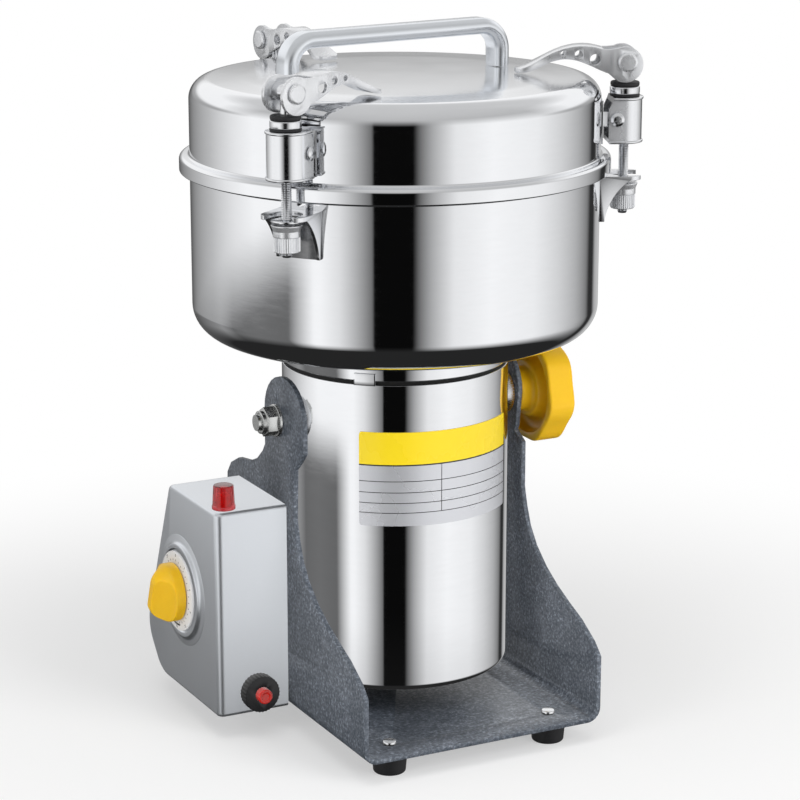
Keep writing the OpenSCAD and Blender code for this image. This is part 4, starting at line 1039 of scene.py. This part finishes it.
def make_lamp():
    """Ribbed lens on its collar, with the bulb inside."""
    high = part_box("indicator_lamp")[1]
    tall = (high.z - BOX_TOP * MM) / MM
    place = beside(-118.3, -2, BOX_TOP)
    piece = turned("lamp_lens", rounded(
        [(CORE, 0), (7.25, 0), (7.25, 2.0), (6.9, 2.3), (6.2, tall), (CORE, tall)],
        [0, 0.3, 0.4, 0.2, 0.8, 0], 5), LENS_STEPS, place)

    def in_groove(v):
        step = round(math.atan2(v.co.y - place[1], v.co.x - place[0]) / TURN * LENS_STEPS)
        return (2.6 * MM < v.co.z - place[2] < (tall - 0.3) * MM
                and step % (LENS_STEPS // LENS_RIBS) in (0, 1, 7))

    edit(piece)
    choose("VERT", in_groove)
    bpy.ops.transform.shrink_fatten(value=-0.28 * MM)
    leave_edit()
    smooth(piece, 50)
    bulb = turned("lamp_bulb", rounded(
        [(CORE, 0.6), (3.0, 0.6), (3.0, 10.5), (CORE, 10.5)], [0, 0.3, 2.6, 0], 6), 32, place)
    smooth(bulb, 50)
    give(piece, lamp_lens)
    give(bulb, lamp_bulb)
    join(piece, bulb)
    dress(piece, "stand", "lamp_red", stands_for=["indicator_lamp"])


def make_button():
    low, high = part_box("reset_button")
    tall = (high.y - low.y) / MM
    piece = turned("button_cap", rounded(
        [(CORE, 0), (4.75, 0), (4.75, tall), (3.0, tall), (2.2, tall - 0.5), (CORE, tall - 0.5)],
        [0, 0.3, 1.0, 0.6, 0.6, 0], 6),
        48, ((low.x + high.x) / 2, high.y, (low.z + high.z) / 2), FRONT)
    smooth(piece, 50)
    dress(piece, "reset_button", "button_red", red_plastic, stands_for=["reset_button"])


def make_lock_knob():
    """Lobed wheel on a flared hub, hollow at the back."""
    outline = []
    for i in range(WHEEL_STEPS):
        turn = TURN * i / WHEEL_STEPS
        r = WHEEL_R - WHEEL_WAVE / 2 * (1 - math.cos(WHEEL_LOBES * turn))
        outline.append(beside(WHEEL_FROM, r * math.sin(turn), PIVOT_Z / MM + r * math.cos(turn)))
    piece = plate("lock_wheel", outline, (WHEEL_DEEP * MM, 0, 0))
    centre = (AXIS_X, AXIS_Y, PIVOT_Z)
    cut_with(piece, turned("hollow", rounded(
        [(17, 90), (29.5, 90), (27.5, 101), (20, 101)], [0, 0, 4, 4], 6), 96, centre, RIGHT))
    fuse(piece, turned("hub", rounded(
        [(5.2, HUB_FROM), (14, HUB_FROM), (14, 91), (19, 103), (5.2, 103)],
        [0, 0.8, 6, 0, 0], 8), 96, centre, RIGHT))
    melt(piece, 0.7 * MM, 10)
    smooth(piece, 60)
    dress(piece, "lock_knob", "yellow_plastic", yellow_plastic, stands_for=["lock_knob"])


def make_feet():
    profile = rounded([(CORE, 0), (9.8, 0), (10.6, 9.5), (11, FOOT_H), (CORE, FOOT_H)],
                      [0, 1.6, 3.0, 0.3, 0], 6)
    feet = [turned("feet", profile, 64, (sx * FOOT_X * MM + AXIS_X, sy * FOOT_Y * MM + AXIS_Y, 0))
            for sx in (-1, 1) for sy in (-1, 1)]
    join(*feet)
    smooth(feet[0])
    dress(feet[0], "stand", "black_rubber", rubber, stands_for=["rubber_feet"])


make_control_box()
make_dial()
make_timer_knob()
make_lamp()
make_button()
make_lock_knob()
make_feet()


# Lid clamps in millimetres, each modelled in its own frame: X away from the bowl axis, Y
# along the rim. CHEEK is half the width over a lever's cheeks, and CHEEK_T their thickness
BOLT_X = 140.5
PIN_Z = joint("lever_turn_a")["pos_m"][2] / MM
CAM_R, CAM_X, CAM_Z = 10.8, 139.21, PIN_Z - 1.532
CHEEK, CHEEK_T = 9.4, 2.4
SLEEVE_IN, SLEEVE_FROM, SLEEVE_TO = 129.5, 362.0, 390.0
SLEEVE_LIP = 1.7
BOLT_LOW, THREAD_R, THREAD_FOOT_R, PITCH = 317.65, 3.1, 2.72, 1.0
NUT_LOW, NUT_HIGH, NUT_TEETH, TEETH_R = 320.6, 336.65, 36, 7.35
SCREW_X, SCREW_Z, SCREW_FROM = 134.5, 377, 12.5
FORK_UNDER = 342.4 - 2.62
# Levers turn about their bolts to lie as in the photograph, in degrees
LEVER_TURN = {"a": -22.0, "b": 0.0, "c": 0.0}
# Lever against the way along it from the cam: its upper and lower line and its holes with
# their radii, as shares of its length, and its half width as a share of CHEEK
LEVER_L = 66.0
ARM_TOP = [(0.02, 0.12), (0.06, 0.145), (0.18, 0.14), (0.3, 0.165), (0.42, 0.17),
           (0.54, 0.152), (0.66, 0.11), (0.78, 0.05), (0.9, -0.012), (1, -0.04)]
ARM_FOOT = [(1, -0.075), (0.9, -0.062), (0.78, -0.02), (0.68, 0.025), (0.56, 0.05),
            (0.44, 0.035), (0.32, -0.01), (0.22, -0.055), (0.12, -0.09), (0.02, -0.1)]
ARM_WIDTH = [(-0.2, 1), (0.1, 1), (0.3, 0.98), (0.5, 0.78), (0.72, 0.64), (0.88, 0.84),
             (0.96, 0.8), (1, 0.55)]
ARM_HOLES = [(0.28, 0.05, 0.05), (0.43, 0.094, 0.038), (0.57, 0.1, 0.026)]
CHANNEL_END = 0.68
BRIDGE = 2.4
# Levels below and above the levers, and a reach beyond the cam's edge
LEVER_SPACE = (370, 450)
BEYOND = 25


def clamp_angle(end):
    """Bearing of a clamp round the bowl axis, from its lever's joint."""
    x, y = joint("lever_turn_" + end)["pos_m"][:2]
    return math.atan2(y - AXIS_Y, x - AXIS_X)


def turn_about(x, degrees):
    """Turn about the upright line at X in a clamp's own frame."""
    return (Matrix.Translation((x * MM, 0, 0)) @ Matrix.Rotation(math.radians(degrees), 4, "Z")
            @ Matrix.Translation((-x * MM, 0, 0)))


def stand_at_clamp(piece, end, turn=0.0):
    """Moves a piece from the clamp's own frame to its place on the head."""
    piece.matrix_world = (Matrix.Translation(HEAD_CENTRE)
                          @ Matrix.Rotation(clamp_angle(end), 4, "Z") @ turn_about(BOLT_X, turn))
    settle(piece)


def arm_point(share):
    return (CAM_X - share[0] * LEVER_L, CAM_Z + share[1] * LEVER_L)


def model_lever():
    """Cam lever: a curved arm with holes over a channel, and two cheeks beside the bolt."""
    top = through([arm_point(s) for s in ARM_TOP], 4)
    foot = through([arm_point(s) for s in ARM_FOOT], 4)
    arm = side_plate("lever", top + foot, 12)
    wide = through([(CAM_X - s * LEVER_L, w * CHEEK) for s, w in ARM_WIDTH], 5)
    keep_inside(arm, level_plate("seen", mirrored(wide), *LEVER_SPACE))
    fuse(arm, cross_rod("disc", CAM_X, CAM_Z, CHEEK, CAM_R, 96))
    gap = CHEEK - CHEEK_T
    near, far = CAM_X - CAM_R - BRIDGE, CAM_X + BEYOND
    low, high = CAM_Z - BEYOND, CAM_Z + BEYOND
    cut_with(arm, side_plate("room", [(near, low), (far, low), (far, high), (near, high)], gap))
    end = CAM_X - CHANNEL_END * LEVER_L
    under = [(x, z - BRIDGE) for x, z in top if x > end] + [(end, low), (CAM_X, low)]
    channel = side_plate("under", under, gap)
    narrow = [(x, min(gap, w - CHEEK_T)) for x, w in wide]
    keep_inside(channel, level_plate("narrow", mirrored(narrow), *LEVER_SPACE))
    cut_with(arm, channel)
    cut_with(arm, cross_rod("pin_hole", BOLT_X, PIN_Z, 20, 2.5))
    for s, rise, r in ARM_HOLES:
        cut_with(arm, cross_rod("hole", *arm_point((s, rise)), 20, r * LEVER_L, 32))
    merge_and_face_out(arm, 10 * EPS)
    soften(arm, 0.45 * MM, 2, 35.0)
    smooth(arm, 40)
    return arm


def sleeve_outline(front, half):
    """Sleeve seen from above: round at the front, open towards the lid."""
    return ([(SLEEVE_IN, -half)] + arc_points((front - half, 0), half, -90, 90, 28)
            + [(SLEEVE_IN, half)])


def model_sleeve():
    """Hollow sleeve with a lip at each end, and the rings that the cam presses on."""
    piece = level_plate("sleeve", sleeve_outline(151.3, 11.8), SLEEVE_FROM + 1, SLEEVE_TO - 1)
    for low, high in ((SLEEVE_FROM, SLEEVE_FROM + SLEEVE_LIP),
                      (SLEEVE_TO - SLEEVE_LIP, SLEEVE_TO)):
        lip = level_plate("lip", sleeve_outline(152.0, 12.6), low, high)
        soften(lip, 0.6 * MM, 3)
        fuse(piece, lip)
    inside = [(x - 4 if x == SLEEVE_IN else x, y) for x, y in sleeve_outline(149.3, 9.8)]
    cut_with(piece, level_plate("inside", inside, SLEEVE_FROM + 3, SLEEVE_TO - 3))
    # Clearance to the bracket as the sleeve swings out
    near, far, foot = SLEEVE_IN - 1, SLEEVE_IN + 3, SLEEVE_TO - 7
    cut_with(piece, side_plate("corner", [
        (near, SLEEVE_TO + 1), (far, SLEEVE_TO + 1), (far, SLEEVE_TO), (SLEEVE_IN, foot),
        (near, foot)], 15))
    cut_with(piece, rod("bore", mm(BOLT_X, 0, 350), mm(BOLT_X, 0, 400), 3.2))
    merge_and_face_out(piece, 5 * EPS)
    smooth(piece, 35)
    give(piece, chrome, rubber, cast_chrome)
    paint_faces(piece, 2, lambda f: abs(f.normal.y) > 0.99)
    for name, r, low, high, edge_r, material in (
            ("low_ring", 9.2, 0.05, 1.55, 0.5, rubber), ("steel_ring", 9.2, 1.6, 6.1, 0.7, chrome),
            ("cushion", 8.9, 6.15, 8.9, 0.9, rubber)):
        low, high = SLEEVE_TO + low, SLEEVE_TO + high
        ring = turned(name, rounded([(3.25, low), (r, low), (r, high), (3.25, high)],
                                    [0, edge_r, edge_r, 0], 4), 64, mm(BOLT_X, 0, 0))
        smooth(ring, 50)
        give(ring, material)
        join(piece, ring)
    return piece


def model_bolt():
    """Threaded draw bolt with its eye, and the pin with its domed heads."""
    turns = int((SLEEVE_FROM - BOLT_LOW) / PITCH)
    thread = [(THREAD_R if k % 2 else THREAD_FOOT_R, BOLT_LOW + 0.6 + PITCH / 2 * k)
              for k in range(2 * turns)]
    piece = turned("bolt", [(CORE, BOLT_LOW), (2.5, BOLT_LOW)] + thread + [
        (THREAD_R, BOLT_LOW + turns + 1.2), (THREAD_R, PIN_Z - 1), (CORE, PIN_Z - 1)],
        32, mm(BOLT_X, 0, 0))
    eye = cross_rod("eye", BOLT_X, PIN_Z, 6.7, 5, 64)
    soften(eye, 0.8 * MM, 3)
    pin = cross_rod("pin", BOLT_X, PIN_Z, CHEEK + 0.4, 2.4, 32)
    join(piece, eye, pin)
    smooth(piece, 35)
    give(piece, chrome)
    for s in (-1, 1):
        head = turned("pin_head", rounded(
            [(CORE, CHEEK + 0.3), (5.9, CHEEK + 0.3), (5.9, CHEEK + 1.7), (4.6, CHEEK + 2.2),
             (CORE, CHEEK + 2.3)], [0, 0.3, 0.4, 0.9, 0], 6), 48, mm(BOLT_X, 0, PIN_Z), (0, s, 0))
        smooth(head, 60)
        give(head, cast_chrome)
        join(piece, head)
    return piece


def model_thumb_nut():
    """Nut that flares at its top, with fine teeth round its lower half."""
    piece = turned("nut", rounded(
        [(3.2, NUT_LOW), (7.3, NUT_LOW), (7.3, NUT_LOW + 8.9), (7.9, NUT_LOW + 9.2),
         (7.9, NUT_HIGH - 3.5), (9.0, NUT_HIGH - 0.6), (9.0, NUT_HIGH), (3.2, NUT_HIGH)],
        [0, 0.6, 0, 0.2, 1.5, 0.3, 0.3, 0], 4), 144, mm(BOLT_X, 0, 0))
    teeth = []
    for k in range(NUT_TEETH):
        x, y = on_circle((BOLT_X, 0), TEETH_R, TURN * k / NUT_TEETH)
        teeth.append(rod("tooth", mm(x, y, NUT_LOW + 0.7), mm(x, y, NUT_LOW + 8.9), 0.42, 6))
    join(piece, *teeth)
    smooth(piece, 35)
    return piece


def model_flank_screw():
    """Pan head with a cross slot, on the sleeve's flank at its swing pin."""
    rim, top = SCREW_FROM + 0.9, SCREW_FROM + 1.9
    piece = turned("flank_screw", rounded(
        [(CORE, SCREW_FROM), (4.2, SCREW_FROM), (4.2, rim), (2.5, SCREW_FROM + 1.8), (CORE, top)],
        [0, 0.2, 0.5, 1.0, 0], 6), 40, mm(SCREW_X, 0, SCREW_Z), FRONT)
    for turn in (25, 115):
        c, s = math.cos(math.radians(turn)), math.sin(math.radians(turn))
        slot = [mm(SCREW_X + u * c - v * s, -SCREW_FROM - 1.1, SCREW_Z + u * s + v * c)
                for u, v in ((-2.3, -0.35), (2.3, -0.35), (2.3, 0.35), (-2.3, 0.35))]
        cut_with(piece, plate("slot", slot, (0, -2 * MM, 0)))
    join(piece, rod("stem", mm(SCREW_X, -7.4, SCREW_Z), mm(SCREW_X, -SCREW_FROM - 0.3, SCREW_Z),
                    2, 32))
    smooth(piece, 35)
    return piece


def make_forks():
    """Catch forks on the bowl, with the gussets cut back in a curve."""
    piece = rounded_copy("catch_forks", "forks", 0)
    bow = arc_points((163.9, 309.7), 36.9, 122, 182, 14) + [(164, 305), (164, FORK_UNDER)]
    curve = [(x, min(z, FORK_UNDER)) for x, z in bow]
    foot = [(120, 300), (170, 300), (170, 314.5), (120, 314.5)]
    for end in "abc":
        for name, outline, half in (("curve", curve, 15), ("foot", foot, 20)):
            cutter = side_plate(name, outline, half)
            stand_at_clamp(cutter, end)
            cut_with(piece, cutter)
    merge_and_face_out(piece, 5 * EPS)
    soften(piece, 0.4 * MM, 2)
    smooth(piece)
    dress(piece, "head", "clamp_chrome", chrome, stands_for=["catch_forks"])


def make_clamps():
    lever, sleeve, bolt = model_lever(), model_sleeve(), model_bolt()
    nut, screw = model_thumb_nut(), model_flank_screw()
    screws = []
    for end in "abc":
        lean = LEVER_TURN[end]
        for model, name, body, slot, materials, turn, node in (
                (lever, "lever_", "lever_", "clamp_chrome", [cast_chrome], lean, "clamp_lever_"),
                (sleeve, "sleeve_", "sleeve_", "clamp_chrome", [], 0.0, "clamp_sleeve_"),
                (bolt, "bolt_", "bolt_", "zinc_plate", [], lean, "draw_bolt_"),
                (nut, "nut_", "thumb_nut_", "clamp_chrome", [cast_chrome], 0.0, "thumb_nut_")):
            piece = copy_of(model, name + end)
            stand_at_clamp(piece, end, turn)
            dress(piece, body + end, slot, *materials, stands_for=[node + end])
        for side in (0, 180):
            piece = copy_of(screw, "flank_screws")
            piece.data.transform(turn_about(SCREW_X, side))
            stand_at_clamp(piece, end)
            screws.append(piece)
    join(*screws)
    dress(screws[0], "lid", "zinc_plate", chrome, stands_for=["sleeve_screws"])
    for model in (lever, sleeve, bolt, nut, screw):
        bpy.data.objects.remove(model, do_unlink=True)


make_forks()
make_clamps()


# CAD pieces that keep their shape with their edges rounded: node, name, body, slot, material
# and width of the rounding in millimetres
ROUNDED = [
    ("frame", "stand_sheet", "stand", "hammertone_paint", hammer_paint, 0.6),
    ("trunnion_bosses", "side_bosses", "head", "turned_steel", turned_steel, 0.6),
    ("pivot_nut", "stud_nut", "head", "zinc_plate", zinc, 0.4),
    ("pivot_washer", "stud_washer", "head", "zinc_plate", zinc, 0.3),
    ("clamp_brackets", "sleeve_brackets", "lid", "clamp_chrome", chrome, 0.3),
    ("cable_gland", "lead_gland", "stand", "black_plastic", black_plastic, 0.6),
    ("blades", "mill_blades", "rotor", "turned_steel", turned_steel, 0.6),
    ("blade_nut", "spindle_nut", "rotor", "zinc_plate", zinc, 0.5),
    ("blade_spacers", "spindle_spacers", "rotor", "turned_steel", turned_steel, 0.4),
    ("lock_washer", "knob_washer", "lock_washer", "zinc_plate", zinc, 0.3),
    ("timer_body", "timer_case", "stand", "timer_case", timer_case_plastic, 0.5),
    ("stand_screws", "base_screws", "stand", "zinc_plate", chrome, 0.5),
    ("breaker_body", "breaker", "stand", "black_plastic", black_plastic, 0.3),
] + [("nut_washer_" + end, "washer_" + end, "nut_washer_" + end, "clamp_chrome", chrome, 0.2)
     for end in "abc"]
for node, name, body, slot, material, width in ROUNDED:
    dress(rounded_copy(node, name, width * MM), body, slot, material, stands_for=[node])

# CAD nodes that stay as they are
KEPT = {
    "bottom_cover": black_paint, "bearing_plate": black_paint, "pivot_stud": zinc,
    "lower_bracket": cast_metal, "bearings": turned_steel, "stator_core": core_steel,
    "field_coils": copper, "carbon_brushes": carbon, "shaft_seal": rubber, "bowl_screws": zinc,
    "motor_shaft": turned_steel, "armature": core_steel, "commutator": copper,
    "cooling_fan": fan_plastic, "lid_gasket": silicone, "handle_screws": zinc,
    "lock_stud": zinc,
}
for name, material in KEPT.items():
    give(nodes[name], material)

# The polished tube shows the studio, and not the stand and its box round it
for name in ("stand_sheet", "box_cover", "timer_case", "timer_grip", "dial_disc", "dial_numbers",
             "lamp_lens", "button_cap", "breaker", "lead_gland", "base_screws", "feet"):
    bpy.data.objects[name].visible_glossy = False


# Floor, light and background: the floor runs out from its near white to the full one between
# two radii, and the softboxes aim at a height over the bowl axis
FLOOR_SIZE, NEAR_WHITE, RUN_OUT = 12, 0.45, (0.20, 0.60)
AIM_HEIGHT = 0.22


def make_floor():
    """White paper floor: it takes the mill's shadow, and runs out to plain white."""
    deselect()
    bpy.ops.mesh.primitive_plane_add(size=FLOOR_SIZE, location=(0, 0, 0))
    floor = bpy.context.object
    floor.name = "studio_floor"
    made = Finish("floor_paper", Roughness=0.9)
    tree = made.tree
    shade = made.grain(300.0, 3.0)["Shade"]
    made.two_tones(shade, (0.90, 0.90, 0.90), (0.93, 0.93, 0.93))
    reach = add_node(tree, "ShaderNodeVectorMath", {0: object_place(tree)}, operation="LENGTH")
    far = spread(tree, reach.outputs["Value"], *RUN_OUT, NEAR_WHITE, 1.0,
                 interpolation_type="SMOOTHSTEP")
    ray = add_node(tree, "ShaderNodeLightPath").outputs["Is Camera Ray"]
    lit = add_node(tree, "ShaderNodeEmission", {"Color": grey(1.0), "Strength": 1.0})
    mixed = add_node(tree, "ShaderNodeMixShader", {
        "Fac": math_node(tree, "MULTIPLY", far, ray), 1: made.shader.outputs[0],
        2: lit.outputs[0]})
    put(tree, mixed.outputs[0], tree.nodes["Material Output"].inputs["Surface"])
    give(floor, made.material)
    floor.visible_glossy = False


# Reflection panels round the mill: degrees to the right of the camera, and brightness
PANELS = [
    (-180, 0.25), (-166, 0.10), (-150, 0.28), (-124, 0.52), (-100, 0.84), (-84, 1.0), (-42, 1.0),
    (-31, 0.80), (-20, 0.42), (-12.4, 0.16), (-11.4, 0.003), (10.4, 0.003), (13, 0.14),
    (20, 0.42), (33, 0.86), (55, 1.0), (84, 0.92), (104, 0.70), (122, 0.46), (136, 0.22),
    (141, 0.03), (148, 0.03), (154, 0.42), (166, 0.55), (175, 0.32), (180, 0.25),
]
# Factor that darkens them low down, where the control box looks, by the same degrees
LOW_SHADE = [(-172, 1.0), (-155, 0.45), (-116, 0.45), (-104, 0.18), (-62, 0.14), (-46, 1.0)]
# Brightness above the horizon behind the mill and before it, by the sine of the height
ABOVE_BEHIND = [(0.0, 0.36), (0.09, 0.40), (0.13, 0.52), (0.17, 0.80), (0.22, 0.96),
                (0.50, 0.97), (0.70, 0.64), (1.0, 0.60)]
ABOVE_BEFORE = [(0.0, 0.40), (0.4, 0.50), (1.0, 0.60)]
# Sines of the heights between which one passes into the next, and for the back shares of a turn
TO_LOW_SHADE, TO_DARK_GROUND = (-0.232, -0.262), (-0.36, -0.60)
TO_ABOVE_BEFORE, TO_ABOVE_BEHIND = (0.0, 0.5), (-0.02, 0.06)
TO_BEHIND = (0.24, 0.32)
GROUND_GREY, FILL_GREY = 0.02, 0.24


def make_world():
    """White to the camera, panels in reflections, and an even grey as fill light."""
    world = bpy.data.worlds.new("studio")
    bpy.context.scene.world = world
    world.use_nodes = True
    tree = world.node_tree
    tree.nodes.clear()
    ray = add_node(tree, "ShaderNodeLightPath").outputs
    way = add_node(tree, "ShaderNodeSeparateXYZ", {
        "Vector": add_node(tree, "ShaderNodeTexCoord").outputs["Generated"]}).outputs
    bearing = math_node(tree, "ARCTAN2", way["Y"], way["X"])
    toward_camera = math.atan2(-math.cos(CAMERA_AZIMUTH), -math.sin(CAMERA_AZIMUTH))
    share = math_node(tree, "FRACT", math_node(tree, "ADD", math_node(
        tree, "DIVIDE", math_node(tree, "SUBTRACT", bearing, toward_camera), TURN), 1.5))
    away = math_node(tree, "ABSOLUTE", math_node(tree, "SUBTRACT", share, 0.5))
    sides, low_shade = (grey_ramp(tree, share, [((a + 180) / 360, v) for a, v in stops])
                        for stops in (PANELS, LOW_SHADE))
    behind, before = (grey_ramp(tree, way["Z"], stops) for stops in (ABOVE_BEHIND, ABOVE_BEFORE))

    def at(height):
        return spread(tree, way["Z"], *height)

    sides = mix_colour(tree, at(TO_LOW_SHADE), sides, low_shade, "MULTIPLY")
    front = mix_colour(tree, at(TO_ABOVE_BEFORE), sides, before)
    back = mix_colour(tree, at(TO_ABOVE_BEHIND), sides, behind)
    studio = mix_colour(tree, spread(tree, away, *TO_BEHIND), front, back)
    studio = mix_colour(tree, at(TO_DARK_GROUND), studio, grey(GROUND_GREY))
    plain = mix_colour(tree, ray["Is Glossy Ray"], grey(FILL_GREY), studio)
    seen = math_node(tree, "MAXIMUM", ray["Is Camera Ray"], ray["Is Transmission Ray"])
    light = add_node(tree, "ShaderNodeBackground", {
        "Color": mix_colour(tree, seen, plain, grey(1.0)), "Strength": 1.0})
    add_node(tree, "ShaderNodeOutputWorld", {"Surface": light.outputs[0]})


def make_softbox(name, place, size, power):
    """Lamp that looks at the mill's middle, and that no reflection shows."""
    data = bpy.data.lights.new(name, "AREA")
    data.shape = "RECTANGLE"
    data.size, data.size_y = size
    data.energy = power
    lamp = bpy.data.objects.new(name, data)
    bpy.context.scene.collection.objects.link(lamp)
    lamp.location = place
    target = Vector((AXIS_X, AXIS_Y, AIM_HEIGHT))
    lamp.rotation_euler = (target - Vector(place)).to_track_quat("-Z", "Y").to_euler()
    lamp.visible_glossy = False


make_floor()
make_world()
make_softbox("top_softbox", (-0.3, -0.5, 2.2), (1.6, 1.6), 20.0)
make_softbox("front_softbox", (0.9, -2.0, 1.2), (1.2, 1.6), 36.0)
make_softbox("left_softbox", (-2.1, -0.7, 0.9), (1.2, 1.2), 17.0)

bpy.context.scene.view_settings.view_transform = "Standard"
